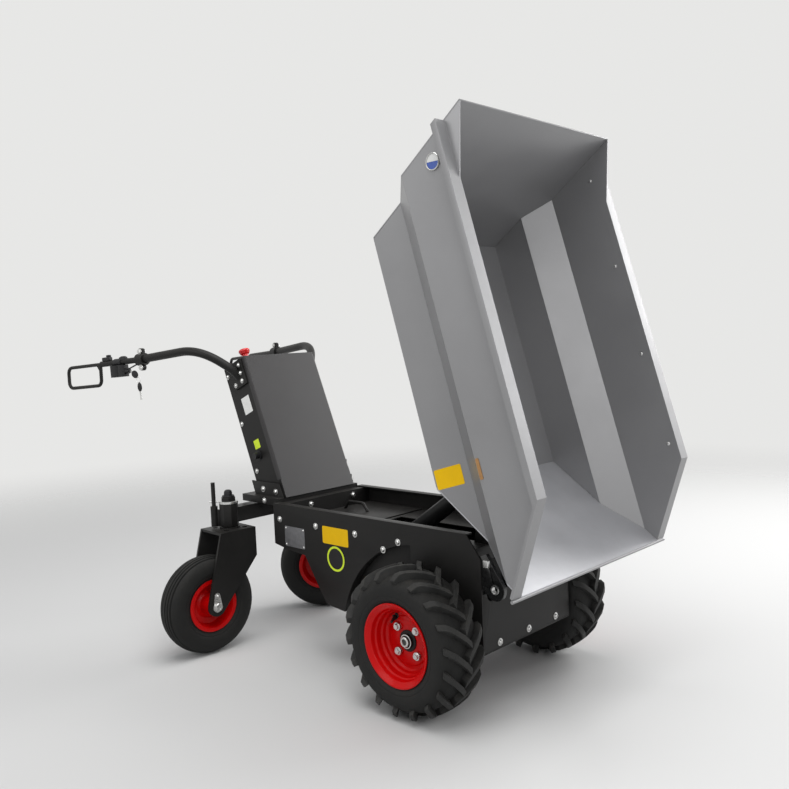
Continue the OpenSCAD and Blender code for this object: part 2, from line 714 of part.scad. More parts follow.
module hinge_arms() {
  arm = [[u_front - 90, w_floor], [u_front, w_floor], [chute_u(w_floor + 110), w_floor + 110],
         [24, 0], [0, -24], [u_front - 50, w_floor - 16]];
  color(GREY) tub_frame() union() {
    for (side = [RIGHT, LEFT]) {
      y0 = side * arm_half - arm_t / 2;
      difference() {
        union() {
          plate_xz(arm, y0, y0 + arm_t);
          cross_rod(0, 0, hinge_eye_r, y0, y0 + arm_t);
        }
        cross_rod(0, 0, shaft_d / 2 + fit_gap, y0 - 1, y0 + arm_t + 1);
      }
    }
    for (side = [RIGHT, LEFT]) {
      y0 = side == LEFT ? ram_ear_in : -ram_ear_in - 8;
      difference() {
        plate_xz([[ram_pin_u - 40, w_floor], [u_front, w_floor], [u_front + 8, w_floor + 6],
                  [ram_pin_u + 18, ram_pin_w - 18], [ram_pin_u - 18, ram_pin_w - 18]], y0, y0 + 8);
        cross_rod(ram_pin_u, ram_pin_w, ram_pin_d / 2, y0 - 1, y0 + 9);
      }
    }
  }
}

// Tipping ram, drawn along +X from its foot pin
module ram_barrel() {
  color(BLACK) ram_frame() difference() {
    union() {
      cross_rod(0, 0, ram_eye_r, -ram_eye_w / 2, ram_eye_w / 2);
      box([0, -ram_eye_w / 2, -14], [40, ram_eye_w / 2, 14]);
      translate([36, 0, 0]) rotate([0, 90, 0]) cylinder(h = ram_barrel_len - 36, r = ram_d / 2);
    }
    cross_rod(0, 0, ram_pin_d / 2 + fit_gap, -ram_eye_w, ram_eye_w);
    translate([60, 0, 0]) rotate([0, 90, 0]) cylinder(h = ram_barrel_len, r = rod_d / 2 + fit_gap);
  }
}
module ram_rod() {
  rod_start = 70 + ram_stroke;
  color(STEEL) ram_frame() difference() {
    union() {
      translate([rod_start, 0, 0]) rotate([0, 90, 0]) cylinder(h = ram_len - rod_start - 10, r = rod_d / 2);
      cross_rod(ram_len, 0, ram_eye_r, -ram_eye_w / 2, ram_eye_w / 2);
    }
    cross_rod(ram_len, 0, ram_pin_d / 2, -ram_eye_w, ram_eye_w);
  }
}

// Wheels, turned about their own axis; the outer face looks along +Z of the wheel's frame
// A deep dish: stepped well, set-back disc and hub
rim_t = 5;
rim_r = drive_rim_d / 2;
rim_bead = rim_r - 14;
rim_half = drive_w / 2 - 5;
disc_z = 7;
hub_back = 66;
module drive_rim(side) {
  hub_r = axle_d / 2 + fit_gap;
  face = disc_z + rim_t;
  well = rim_bead - 15;
  profile = [[rim_bead, -rim_half], [rim_r, -rim_half], [rim_r, -rim_half + rim_t], [rim_bead, -rim_half + 8],
             [rim_bead, -22], [rim_bead - 10, -12], [rim_bead - 10, 10], [rim_bead, 20],
             [rim_bead, rim_half - 8], [rim_r, rim_half - rim_t], [rim_r, rim_half], [rim_r - 4, rim_half],
             [rim_bead - 3, rim_half - 9], [rim_bead - 5, rim_half - 22], [rim_bead - 9, rim_half - 25],
             [rim_bead - 10, rim_half - 40], [well, rim_half - 44], [well - 1, face + 5], [well - 7, face],
             [68, face], [65, face + 3], [hub_r, face + 3], [hub_r, -hub_back], [48, -hub_back],
             [48, disc_z], [well, disc_z], [well, -18], [rim_bead - 5, -28], [rim_bead - 5, -rim_half]];
  color(RED) wheel_frame(side) rotate_extrude() polygon(profile);
}
// Ring turned about Z in flat facets from (radius, height) points
function clear_of(r, sides) = (r + fit_gap) / cos(180 / sides);
module facet_ring(profile, sides) {
  n = len(profile);
  points = [for (k = [0 : sides - 1], p = profile)
    [p[0] * cos(360 * k / sides), p[0] * sin(360 * k / sides), p[1]]];
  faces = [for (k = [0 : sides - 1], i = [0 : n - 1])
    let (a = k * n, b = (k + 1) % sides * n, j = (i + 1) % n)
    [a + i, b + i, b + j, a + j]];
  polyhedron(points, [for (q = faces) each [[q[2], q[1], q[0]], [q[3], q[2], q[0]]]]);
}
// Lug on a tyre: stations of [top radius, top height, base radius, base height, turn, half width as an angle]
module lug(stations) {
  function polar(r, z, a) = [r * cos(a), r * sin(a), z];
  points = [for (s = stations) each
    [polar(s[0], s[1], s[4] - s[5]), polar(s[0], s[1], s[4] + s[5]),
     polar(s[2], s[3], s[4] + s[5]), polar(s[2], s[3], s[4] - s[5])]];
  last = (len(stations) - 1) * 4;
  walls = [for (k = [0 : len(stations) - 2], c = [0 : 3])
    let (a = k * 4, d = (c + 1) % 4)
    each [[a + c, a + 4 + d, a + d], [a + c, a + 4 + c, a + 4 + d]]];
  ends = [[0, 1, 2], [0, 2, 3], [last + 2, last + 1, last], [last + 3, last + 2, last]];
  polyhedron(points, concat(walls, ends));
}
// Drive tyre: carcass with two rows of slanted lugs that point forward at the top
lug_count = 18;
lug_h = 11;
lug_w = 21;
lug_turn = 21;
module drive_tyre(side) {
  half = drive_w / 2;
  sides = 2 * lug_count;
  crown = drive_r - lug_h;
  right_half = [[clear_of(rim_bead, sides), -rim_half + 8 + fit_gap], [rim_r + 2, -rim_half + rim_t + fit_gap],
                [rim_r + 18, -half + 1], [crown - 30, -half + 1], [crown - 12, -half + 12],
                [crown - 2, -half + 32]];
  carcass = concat(right_half, [[crown, 0]],
                   [for (i = [len(right_half) - 1 : -1 : 0]) [right_half[i][0], -right_half[i][1]]]);
  wide = asin(lug_w / 2 / drive_r);
  stations = [[drive_r, -8, crown - 8, -8, 0, wide],
              [drive_r - 1, half - 45, crown - 10, half - 47, lug_turn * 0.47, wide * 0.95],
              [drive_r - 6, half - 15, crown - 24, half - 25, lug_turn * 0.84, wide],
              [drive_r - 27, half, crown - 40, half - 14, lug_turn, wide * 0.85]];
  color(RUBBER) wheel_frame(side) mirror([0, side == LEFT ? 1 : 0, 0]) rotate([0, 0, -90 - wide]) union() {
    facet_ring(carcass, sides);
    for (i = [0 : lug_count - 1], row = [0, 1])
      rotate([0, 0, (i + row / 2) * 360 / lug_count]) mirror([0, 0, row]) lug(stations);
  }
}
// Fork bent from plate: flat crown, wide legs with a straight front edge and round feet
module caster_fork(side) {
  c = [-caster_trail, caster_r];
  brow = [crown_front, fork_brow_z];
  back = [crown_rear, crown_z + fork_t];
  leg = concat([back, [crown_front, crown_z + fork_t], brow],
               arc(c, fork_foot_r, touch_angle(brow, c, fork_foot_r, -1),
                   touch_angle(back, c, fork_foot_r, 1) - 360, 12));
  wide = leg_gap + fork_t;
  color(BLACK) swivel_frame(side) difference() {
    union() {
      translate([0, 0, crown_z]) linear_extrude(fork_t)
        polygon(round_rect([crown_rear, -wide], [crown_front, wide], 6));
      for (y0 = [leg_gap, -wide]) plate_xz(leg, y0, y0 + fork_t);
      translate([0, 0, crown_z + fork_t]) cylinder(h = run_gap - 2, r = sleeve_r + 2);
      translate([0, 0, crown_z]) cylinder(h = sleeve_h + 40, r = stem_d / 2);
      translate([0, 0, sleeve_z + sleeve_h + 2]) cylinder(h = 5, r = sleeve_r - 4);
      translate([0, 0, sleeve_z + sleeve_h + 7]) cylinder(h = 14, r = stem_d / 2 + 6, $fn = 6);
      cross_rod(-caster_trail, caster_r, caster_axle_d / 2, -wide - 10, wide + 10);
    }
    for (a = [45 : 90 : 315]) rotate([0, 0, a]) translate([lock_reach, 0, crown_z - 1])
      cylinder(h = fork_t + 2, r = lock_r + 2);
  }
}
caster_rim_r = caster_rim_d / 2;
caster_bead = caster_rim_r - 11;
caster_half = caster_w / 2 - 8;
module caster_rim(side) {
  hub_r = caster_axle_d / 2 + fit_gap;
  dish = 8;
  r = caster_rim_r;
  bead = caster_bead;
  half = caster_half;
  profile = [[bead, -half], [r, -half], [r, -half + 4], [bead, -half + 6], [bead, half - 6],
             [r, half - 4], [r, half], [bead - 2, half], [bead - 6, half - 10], [bead - 10, dish],
             [46, dish], [36, dish + 8], [30, leg_gap - 1], [hub_r, leg_gap - 1],
             [hub_r, -leg_gap + 1], [30, -leg_gap + 1], [36, -dish - 8], [46, -dish],
             [bead - 10, -dish], [bead - 6, -half + 10], [bead - 2, -half]];
  color(RED) caster_wheel_frame(side) rotate_extrude() polygon(profile);
}
// Caster tyre with ribbed tread
groove = 5;
caster_sides = 32;
module caster_tyre(side) {
  half = caster_w / 2;
  right_half = [[clear_of(caster_bead, caster_sides), -caster_half + 6 + fit_gap],
                [caster_rim_r + 2, -caster_half + 4 + fit_gap], [caster_rim_r + 26, -half],
                [caster_r - 14, -half + 9], [caster_r - 5, -half + 20], [caster_r - 4 - groove, -half + 23],
                [caster_r - 1, -half + 26], [caster_r, -tread_half]];
  profile = concat(right_half, [for (i = [len(right_half) - 1 : -1 : 0]) [right_half[i][0], -right_half[i][1]]]);
  color(RUBBER) caster_wheel_frame(side) facet_ring(profile, caster_sides);
}

side_plate(RIGHT);  // side_plate_right
side_plate(LEFT);  // side_plate_left
front_plate();
rear_plate();
belly_pan();
battery_tray();
battery_pack();
drive_unit();
deck_tray();
bay_lid();
lid_handle();
hinge_frame();
tip_shaft();
ram_bracket();
lashing_eye(RIGHT);  // lashing_eye_right
lashing_eye(LEFT);  // lashing_eye_left
rear_shelf();
beam_pin();
axle_beam();
lock_pin(RIGHT);  // lock_pin_right
lock_pin(LEFT);  // lock_pin_left
console_shell();
console_cover();
emergency_stop();
selector_knob();
side_socket();
bar_bracket(RIGHT);  // bar_bracket_right
bar_bracket(LEFT);  // bar_bracket_left
handlebar(RIGHT);  // handlebar_right
handlebar(LEFT);  // handlebar_left
bar_clamp(RIGHT);  // bar_clamp_right
bar_clamp(LEFT);  // bar_clamp_left
grip(RIGHT);  // grip_right
grip(LEFT);  // grip_left
hand_guard(RIGHT);  // hand_guard_right
hand_guard(LEFT);  // hand_guard_left
control_pod();
key_switch();
tub_floor();
tub_wall(RIGHT);  // tub_wall_right
tub_wall(LEFT);  // tub_wall_left
tub_board();
tub_chute();
tub_bearers();
hinge_arms();
ram_barrel();
ram_rod();
drive_rim(RIGHT);  // drive_rim_right
drive_tyre(RIGHT);  // drive_tyre_right
drive_rim(LEFT);  // drive_rim_left
drive_tyre(LEFT);  // drive_tyre_left
caster_fork(RIGHT);  // caster_fork_right
caster_rim(RIGHT);  // caster_rim_right
caster_tyre(RIGHT);  // caster_tyre_right
caster_fork(LEFT);  // caster_fork_left
caster_rim(LEFT);  // caster_rim_left
caster_tyre(LEFT);  // caster_tyre_left
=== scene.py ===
"""Looks of the walk-behind site dumper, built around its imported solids."""
import json
import math

import bmesh
import bpy
from bpy.props import FloatProperty, FloatVectorProperty, IntProperty, PointerProperty
from mathutils import Matrix, Vector


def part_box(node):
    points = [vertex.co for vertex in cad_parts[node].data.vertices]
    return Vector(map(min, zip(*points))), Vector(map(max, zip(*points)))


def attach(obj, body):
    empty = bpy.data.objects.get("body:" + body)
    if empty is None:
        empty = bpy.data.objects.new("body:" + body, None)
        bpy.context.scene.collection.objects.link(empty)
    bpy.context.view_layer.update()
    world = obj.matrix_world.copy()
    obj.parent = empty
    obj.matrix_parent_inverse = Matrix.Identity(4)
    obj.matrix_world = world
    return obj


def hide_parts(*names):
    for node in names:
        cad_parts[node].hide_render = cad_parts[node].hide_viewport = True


bl_info = {
    "name": "Site dumper dressing",
    "version": (1, 0, 0),
    "blender": (4, 5, 0),
    "location": "3D View > Sidebar > Dumper",
    "description": "Finishes, fasteners, controls and stage for a tipping site dumper",
    "category": "Object",
}

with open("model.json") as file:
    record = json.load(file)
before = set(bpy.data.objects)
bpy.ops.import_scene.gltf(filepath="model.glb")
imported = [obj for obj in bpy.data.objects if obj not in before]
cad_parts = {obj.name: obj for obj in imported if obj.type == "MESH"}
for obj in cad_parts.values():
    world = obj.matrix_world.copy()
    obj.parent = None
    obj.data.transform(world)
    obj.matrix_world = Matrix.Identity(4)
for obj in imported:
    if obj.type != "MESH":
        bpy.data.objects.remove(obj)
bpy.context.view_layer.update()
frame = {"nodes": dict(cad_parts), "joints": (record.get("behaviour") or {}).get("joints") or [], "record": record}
JOINTS = {joint["name"]: joint for joint in frame["joints"]}
SIDES = {"right": -1, "left": 1}
MM = 0.001

# Layout in metres and degrees, from the ground point under the middle of the drive axle
HINGE = Vector((0.132, 0.0, 0.520))
AXLE_FOOT = Vector(JOINTS["tub_tip"]["pos_m"]) - HINGE
TIP = 74
LEAN = 21.9
LEAN_UP = Matrix.Rotation(math.radians(-LEAN), 3, "Y") @ Vector((0, 0, 1))
CONSOLE_FOOT = Vector((-0.690, 0.0, 0.493))
CONSOLE_LEN = 0.514
CONSOLE_HALF = 0.154
SIDE_Y = 0.204
DRIVE_Z = 0.204
DRIVE_Y = 0.300
HUB_FACE = 0.015
CASTER_TRAIL = 0.102
CASTER_Z = 0.160
CASTER_LEG = 0.064
SWIVEL = Vector((-0.857, 0.268))
TURNS = {"right": 87, "left": 45}
BAR_BEND = Vector((-1.0407, 0.265, 0.9859))
GUARD_END = Vector((-1.720, 0.385, 0.9459))
GUARD_LEN = 0.198
GRIP_REACH = 0.2205
BAR_DIR = (GUARD_END - BAR_BEND).normalized()
BAR_END = GUARD_END - (GUARD_LEN + GRIP_REACH) * BAR_DIR

# Merging distances in metres, and turns in degrees that tell a sharp edge from a round one
PIECE_MERGE = 1e-6
SOLID_MERGE = 1e-5
PIECE_SHARP = 34
SHEET_EDGE = 40
SHEET_ROUND = 21
TUBE_ROUND = 44


# Places, in metres

def spot(x, y, z):
    """Point of the part's frame for a point measured from the axle's foot."""
    return AXLE_FOOT + Vector((x, y, z))


def shifted(x, y, z):
    """Plain shift."""
    return Matrix.Translation((x, y, z))


def spun(degrees, axis):
    """Plain turn about one axis."""
    return Matrix.Rotation(math.radians(degrees), 4, axis)


def drawn(x, y):
    """Plain stretch in two directions."""
    return Matrix.Diagonal((x, y, 1, 1))


def facing(point, normal, up=(0, 0, 1)):
    """Place whose Z looks along the normal and whose Y leans towards up."""
    z = Vector(normal).normalized()
    x = Vector(up).cross(z).normalized()
    turn = Matrix((x, z.cross(x), z)).transposed().to_4x4()
    return Matrix.Translation(point) @ turn


def side_places(points, y):
    """Places on both flanks of the machine for (x, z) points, looking outwards."""
    return [facing(spot(x, turn * y, z), (0, turn, 0))
            for turn in SIDES.values() for x, z in points]


def tub_place(u, y, w):
    """Place in the tipped tub: X runs forward along its floor, Z up from it."""
    return shifted(*spot(*HINGE)) @ spun(TIP, "Y") @ shifted(u, y, w)


def console_place(rise):
    """Place on the leaning console's front, at a distance up from its foot along Z."""
    return shifted(*spot(*CONSOLE_FOOT)) @ spun(-LEAN, "Y") @ shifted(0, 0, rise)


def wheel_place(side):
    """Place of a drive wheel: Z runs outwards along its axle."""
    return facing(spot(0, SIDES[side] * DRIVE_Y, DRIVE_Z), (0, SIDES[side], 0))


def swivel_place(side):
    """Place of a caster at its swivel, on the ground: the wheel trails towards -X."""
    return shifted(*spot(SWIVEL.x, SIDES[side] * SWIVEL.y, 0)) @ spun(TURNS[side], "Z")


def grip_place(side, reach, rise=0.0):
    """Place on or above a grip's axis, at a distance behind the clamp: X runs along the grip."""
    along = Vector((BAR_DIR.x, SIDES[side] * BAR_DIR.y, BAR_DIR.z))
    end = spot(BAR_END.x, SIDES[side] * BAR_END.y, BAR_END.z)
    across = Vector((0, 0, 1)).cross(along).normalized()
    turn = Matrix((along, across, along.cross(across))).transposed().to_4x4()
    return Matrix.Translation(end + reach * along) @ turn @ shifted(0, 0, rise)


# Shapes, each made at the origin in millimetres

def turned(profile, steps):
    """Shape turned about Z from (radius, height) points."""
    bm = bmesh.new()
    points = [bm.verts.new((r, 0, z)) for r, z in profile]
    lines = [bm.edges.new(pair) for pair in zip(points, points[1:])]
    bmesh.ops.spin(bm, geom=points + lines, cent=(0, 0, 0), axis=(0, 0, 1),
                   angle=2 * math.pi, steps=steps, use_merge=True, use_duplicate=False)
    return bm


def soften(bm, width, segments, angle=30):
    """Bevel the edges that turn by more than the angle, in degrees."""
    limit = math.radians(angle)
    sharp = [e for e in bm.edges if e.is_manifold and e.calc_face_angle() > limit]
    if width > 0 and sharp:
        bmesh.ops.bevel(bm, geom=sharp, offset=width, offset_type="OFFSET", affect="EDGES",
                        segments=segments, profile=0.5, material=-1, clamp_overlap=True)
    return bm


def block(size, width, segments=2):
    """Box about the origin with softened edges."""
    bm = bmesh.new()
    bmesh.ops.create_cube(bm, size=1)
    bmesh.ops.scale(bm, vec=size, verts=bm.verts)
    return soften(bm, width, segments)


def prism(outline, thick, width, segments=2):
    """Flat plate in XY from an outline, rising to its thickness."""
    bm = bmesh.new()
    face = bm.faces.new([bm.verts.new((x, y, 0)) for x, y in outline])
    grown = bmesh.ops.extrude_face_region(bm, geom=[face])["geom"]
    top = [v for v in grown if isinstance(v, bmesh.types.BMVert)]
    bmesh.ops.translate(bm, vec=(0, 0, thick), verts=top)
    bmesh.ops.recalc_face_normals(bm, faces=bm.faces)
    return soften(bm, width, segments)


def loft(rings):
    """Shape through rings of points, with a face at either end."""
    bm = bmesh.new()
    loops = []
    for ring in rings:
        verts = [bm.verts.new(p) for p in ring]
        loops.append([bm.edges.new(pair) for pair in zip(verts, verts[1:] + verts[:1])])
    for near, far in zip(loops, loops[1:]):
        bmesh.ops.bridge_loops(bm, edges=near + far)
    bmesh.ops.holes_fill(bm, edges=loops[0] + loops[-1], sides=len(rings[0]))
    bmesh.ops.recalc_face_normals(bm, faces=bm.faces)
    return bm


def pipe(path, radius, sides=12):
    """Round rod along a path of points."""
    path = [Vector(p) for p in path]
    rings, out = [], None
    for i, point in enumerate(path):
        way = (path[min(i + 1, len(path) - 1)] - path[max(i - 1, 0)]).normalized()
        out = way.orthogonal() if out is None else out - out.dot(way) * way
        out.normalize()
        spins = [Matrix.Rotation(2 * math.pi * k / sides, 3, way) for k in range(sides)]
        rings.append([point + radius * (spin @ out) for spin in spins])
    return loft(rings)


def arc(cx, cy, radius, start, end, steps):
    """Points of an arc in a plane, angles in degrees."""
    turns = [math.radians(start + (end - start) * i / steps) for i in range(steps + 1)]
    return [(cx + radius * math.cos(a), cy + radius * math.sin(a)) for a in turns]


def rounded(width, height, radius):
    """Outline of a rectangle about the origin with round corners."""
    x, y = width / 2 - radius, height / 2 - radius
    return (arc(x, y, radius, 0, 90, 4) + arc(-x, y, radius, 90, 180, 4)
            + arc(-x, -y, radius, 180, 270, 4) + arc(x, -y, radius, 270, 360, 4))


def button_bolt(radius):
    """Domed socket-head bolt on its washer, rising along Z."""
    shares = ((0, 0.42), (0.42, 0.42), (0.48, 0.92), (0.62, 0.9), (0.88, 0.66), (1, 0.28),
              (1, 0.22), (1.4, 0.2), (1.45, 0.12), (1.45, -0.1))
    return turned([(radius * r, radius * z) for r, z in shares], 16)


def hex_bolt(radius):
    """Hexagon bolt head on its washer, rising along Z."""
    r = radius
    bm = turned([(0, 0.2 * r), (1.35 * r, 0.2 * r), (1.4 * r, 0.14 * r), (1.4 * r, -0.1 * r)], 20)
    head = bmesh.ops.create_cone(bm, cap_ends=True, segments=6, radius1=r, radius2=0.97 * r,
                                 depth=0.75 * r)
    bmesh.ops.translate(bm, vec=(0, 0, 0.5 * r), verts=head["verts"])
    rim = [e for e in {e for v in head["verts"] for e in v.link_edges}
           if all(v.co.z > 0.8 * r for v in e.verts)]
    bmesh.ops.bevel(bm, geom=rim, offset=0.12 * r, offset_type="OFFSET", affect="EDGES",
                    segments=2, profile=0.5, material=-1)
    return bm


class Piece:
    """Mesh piece gathered from shapes, then set on its body."""

    def __init__(self, name):
        self.name = name
        self.bm = bmesh.new()

    def add(self, shape, place):
        """Join a shape, brought from millimetres to its place in metres."""
        bmesh.ops.remove_doubles(shape, verts=shape.verts, dist=PIECE_MERGE / MM)
        bmesh.ops.transform(shape, matrix=place @ Matrix.Scale(MM, 4), verts=shape.verts)
        bmesh.ops.recalc_face_normals(shape, faces=shape.faces)
        scratch = bpy.data.meshes.new("scratch")
        shape.to_mesh(scratch)
        shape.free()
        self.bm.from_mesh(scratch)
        bpy.data.meshes.remove(scratch)
        return self

    def done(self, body, slot, material, replaced=()):
        """Make the object, with its finish, body and the solids it stands for. The slot argument is not used."""
        for face in self.bm.faces:
            face.smooth = True
        sharp = math.radians(PIECE_SHARP)
        for edge in self.bm.edges:
            edge.smooth = edge.is_manifold and edge.calc_face_angle() < sharp
        mesh = bpy.data.meshes.new(self.name)
        self.bm.to_mesh(mesh)
        self.bm.free()
        piece = bpy.data.objects.new(self.name, mesh)
        bpy.context.scene.collection.objects.link(piece)
        mesh.materials.append(bpy.data.materials[material])
        shade = piece.modifiers.new("even_shade", "WEIGHTED_NORMAL")
        shade.keep_sharp = True
        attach(piece, body)
        if replaced:
            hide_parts(*replaced)


# Finishes

def feed(tree, node, inputs):
    """Give a node's inputs their values, or links from other sockets."""
    for key, value in inputs.items():
        if isinstance(value, bpy.types.NodeSocket):
            tree.links.new(value, node.inputs[key])
        else:
            node.inputs[key].default_value = value


def put(tree, kind, inputs=None, family="ShaderNode", **settings):
    """Outputs of a new node with these settings and inputs."""
    node = tree.nodes.new(family + kind)
    for key, value in settings.items():
        setattr(node, key, value)
    feed(tree, node, inputs or {})
    return node.outputs


def group_tree(name, inputs, outputs):
    """Empty shader node group: its tree, the sockets it is given and its output node."""
    tree = bpy.data.node_groups.new(name, "ShaderNodeTree")
    for label, kind, default in inputs:
        socket = tree.interface.new_socket(label, in_out="INPUT", socket_type="NodeSocket" + kind)
        socket.default_value = default
    for label, kind in outputs:
        tree.interface.new_socket(label, in_out="OUTPUT", socket_type="NodeSocket" + kind)
    return tree, tree.nodes.new("NodeGroupInput").outputs, tree.nodes.new("NodeGroupOutput")


def build_tone_group():
    """Cloudy tone change of a finish over the part, as a colour and a mask."""
    tree, given, out = group_tree(
        "cloudy_tone",
        [("Colour", "Color", (0.5, 0.5, 0.5, 1)), ("Shift", "Float", 0.1), ("Scale", "Float", 6.0)],
        [("Colour", "Color"), ("Mask", "Float")])
    cloud = put(tree, "TexNoise", {"Vector": put(tree, "TexCoord")["Object"],
                                   "Scale": given["Scale"], "Detail": 6, "Roughness": 0.62})
    spread = put(tree, "MapRange", {"Value": cloud["Fac"], "From Min": 0.3, "From Max": 0.7})
    centred = put(tree, "MapRange", {"Value": spread["Result"], "To Min": -1})
    level = put(tree, "Math", {0: given["Shift"], 1: centred["Result"], 2: 1},
                operation="MULTIPLY_ADD")
    tint = put(tree, "VectorMath", {0: given["Colour"], "Scale": level["Value"]},
               operation="SCALE")
    feed(tree, out, {"Colour": tint["Vector"], "Mask": spread["Result"]})


def build_grain_group():
    """Fine surface grain as a height."""
    tree, given, out = group_tree(
        "fine_grain", [("Scale", "Float", 900.0), ("Stretch", "Vector", (1, 1, 1))],
        [("Height", "Float")])
    pull = put(tree, "VectorMath", {0: put(tree, "TexCoord")["Object"], 1: given["Stretch"]},
               operation="MULTIPLY")
    grain = put(tree, "TexNoise", {"Vector": pull["Vector"], "Scale": given["Scale"], "Detail": 3})
    feed(tree, out, {"Height": grain["Fac"]})


def build_dust_group():
    """Thin dust that settles on what looks up, broken by a cloud, as a mask."""
    tree, given, out = group_tree(
        "settled_dust", [("Amount", "Float", 0.2), ("Scale", "Float", 30.0)], [("Mask", "Float")])
    cloud = put(tree, "TexNoise", {"Vector": put(tree, "TexCoord")["Object"],
                                   "Scale": given["Scale"], "Detail": 8, "Roughness": 0.7})
    lie = put(tree, "SeparateXYZ", {"Vector": put(tree, "NewGeometry")["Normal"]})
    up = put(tree, "MapRange", {"Value": lie["Z"], "From Min": -0.2})
    fleck = put(tree, "MapRange", {"Value": cloud["Fac"], "From Min": 0.42, "From Max": 0.72})
    both = put(tree, "Math", {0: up["Result"], 1: fleck["Result"]}, operation="MULTIPLY")
    share = put(tree, "Math", {0: both["Value"], 1: given["Amount"]}, operation="MULTIPLY")
    feed(tree, out, {"Mask": share["Value"]})


def build_round_shading(name, angle):
    """Geometry tree that shades facets within an angle, in degrees, as one round surface."""
    tree = bpy.data.node_groups.new(name, "GeometryNodeTree")
    for way in ("INPUT", "OUTPUT"):
        tree.interface.new_socket("Geometry", in_out=way, socket_type="NodeSocketGeometry")
    given = tree.nodes.new("NodeGroupInput").outputs
    faces = put(tree, "SetShadeSmooth", {0: given["Geometry"]}, "GeometryNode", domain="FACE")
    bend = put(tree, "InputMeshEdgeAngle", family="GeometryNode")
    shallow = put(tree, "Compare", {"A": bend["Unsigned Angle"], "B": math.radians(angle)},
                  "FunctionNode", operation="LESS_THAN")
    edges = put(tree, "SetShadeSmooth", {0: faces[0], "Shade Smooth": shallow["Result"]},
                "GeometryNode", domain="EDGE")
    feed(tree, tree.nodes.new("NodeGroupOutput"), {"Geometry": edges[0]})
    return tree


DUST_COLOUR = (0.27, 0.24, 0.2, 1)
GRAIN_DEPTH = 0.001
COAT_ROUGH = 0.1


def finish(name, colour, rough, shift, cloud, bump, metallic=0, vary=0.08, grain=900,
           stretch=(1, 1, 1), dust=0, coat=0, specular=0.5):
    """Material from the shared groups, with its own values."""
    material = bpy.data.materials.new(name)
    material.use_nodes = True
    tree = material.node_tree

    def shared(label, **inputs):
        return put(tree, "Group", inputs, node_tree=bpy.data.node_groups[label])

    tone = shared("cloudy_tone", Colour=(*colour, 1), Shift=shift, Scale=cloud)
    level = put(tree, "MapRange", {"Value": tone["Mask"], "To Min": rough - vary,
                                   "To Max": rough + vary})
    base, gloss = tone["Colour"], level["Result"]
    if dust:
        film = shared("settled_dust", Amount=dust)["Mask"]
        base = put(tree, "Mix", {"Factor": film, "A": base, "B": DUST_COLOUR},
                   data_type="RGBA")["Result"]
        gloss = put(tree, "Math", {0: gloss, 1: film}, operation="ADD", use_clamp=True)["Value"]
    grit = shared("fine_grain", Scale=grain, Stretch=stretch)
    relief = put(tree, "Bump", {"Height": grit["Height"], "Strength": bump,
                                "Distance": GRAIN_DEPTH})
    feed(tree, tree.nodes["Principled BSDF"], {
        "Base Color": base, "Roughness": gloss, "Normal": relief["Normal"], "Metallic": metallic,
        "Specular IOR Level": specular, "Coat Weight": coat, "Coat Roughness": COAT_ROUGH})


def colour_of(name, thing, default):
    """Colour property of a finish or of the stage."""
    return FloatVectorProperty(name=name, description="Colour of " + thing, subtype="COLOR",
                               size=3, default=default)


class DumperFinish(bpy.types.PropertyGroup):
    """Colours of the dumper's finishes"""
    tub: colour_of("Tub paint", "the tub's paint", (0.285, 0.284, 0.29))
    # The chute's colour is a lighter copy of the tub paint: painted light where the chute faces the sky.
    chute: colour_of("Chute paint", "the chute, painted lighter than the tub as painted light",
                     (0.40, 0.402, 0.42))
    chassis: colour_of("Chassis coat", "the black powder coat", (0.014, 0.0135, 0.013))
    rim: colour_of("Rim paint", "the wheel rims", (0.55, 0.0015, 0.002))
    rubber: colour_of("Rubber", "the tyres", (0.014, 0.014, 0.0135))
    # The lugs' colour is a lighter copy of the tyre rubber: painted light on the lug tops, against the darker
    # carcass in the grooves.
    lug: colour_of("Lug rubber", "the lug tops, painted lighter than the carcass as painted light", (0.0252, 0.0252, 0.0243))
    label: colour_of("Label", "the blank labels", (0.90, 0.54, 0.004))


class DumperHardware(bpy.types.PropertyGroup):
    """Sizes of the dumper's fasteners and edges"""
    edge: FloatProperty(name="Edge rounding", description="Rounding of folded and cut sheet edges",
                        unit="LENGTH", default=0.0012, min=0.0002, max=0.003)
    bolt: FloatProperty(name="Chassis bolt", description="Head radius of the chassis bolts",
                        unit="LENGTH", default=0.0072, min=0.004, max=0.012)
    screw: FloatProperty(name="Console screw", description="Head radius of the console screws",
                         unit="LENGTH", default=0.0060, min=0.003, max=0.01)
    wheel_bolts: IntProperty(name="Wheel bolts", description="Bolts of one drive wheel",
                             default=4, min=3, max=6)


class DumperStage(bpy.types.PropertyGroup):
    """Floor, light and camera"""
    floor: colour_of("Floor", "the floor", (0.64, 0.637, 0.63))
    backdrop: colour_of("Backdrop", "what is seen behind the part", (0.80, 0.80, 0.79))
    key: FloatProperty(name="Key light", description="Power of the overhead softbox",
                       unit="POWER", default=150.0, min=0.0)
    fill: FloatProperty(name="Fill light", description="Power that the other softboxes share",
                        unit="POWER", default=40.0, min=0.0)
    sky: FloatProperty(name="Room light", description="Strength of the even room light",
                       default=0.34, min=0.0)


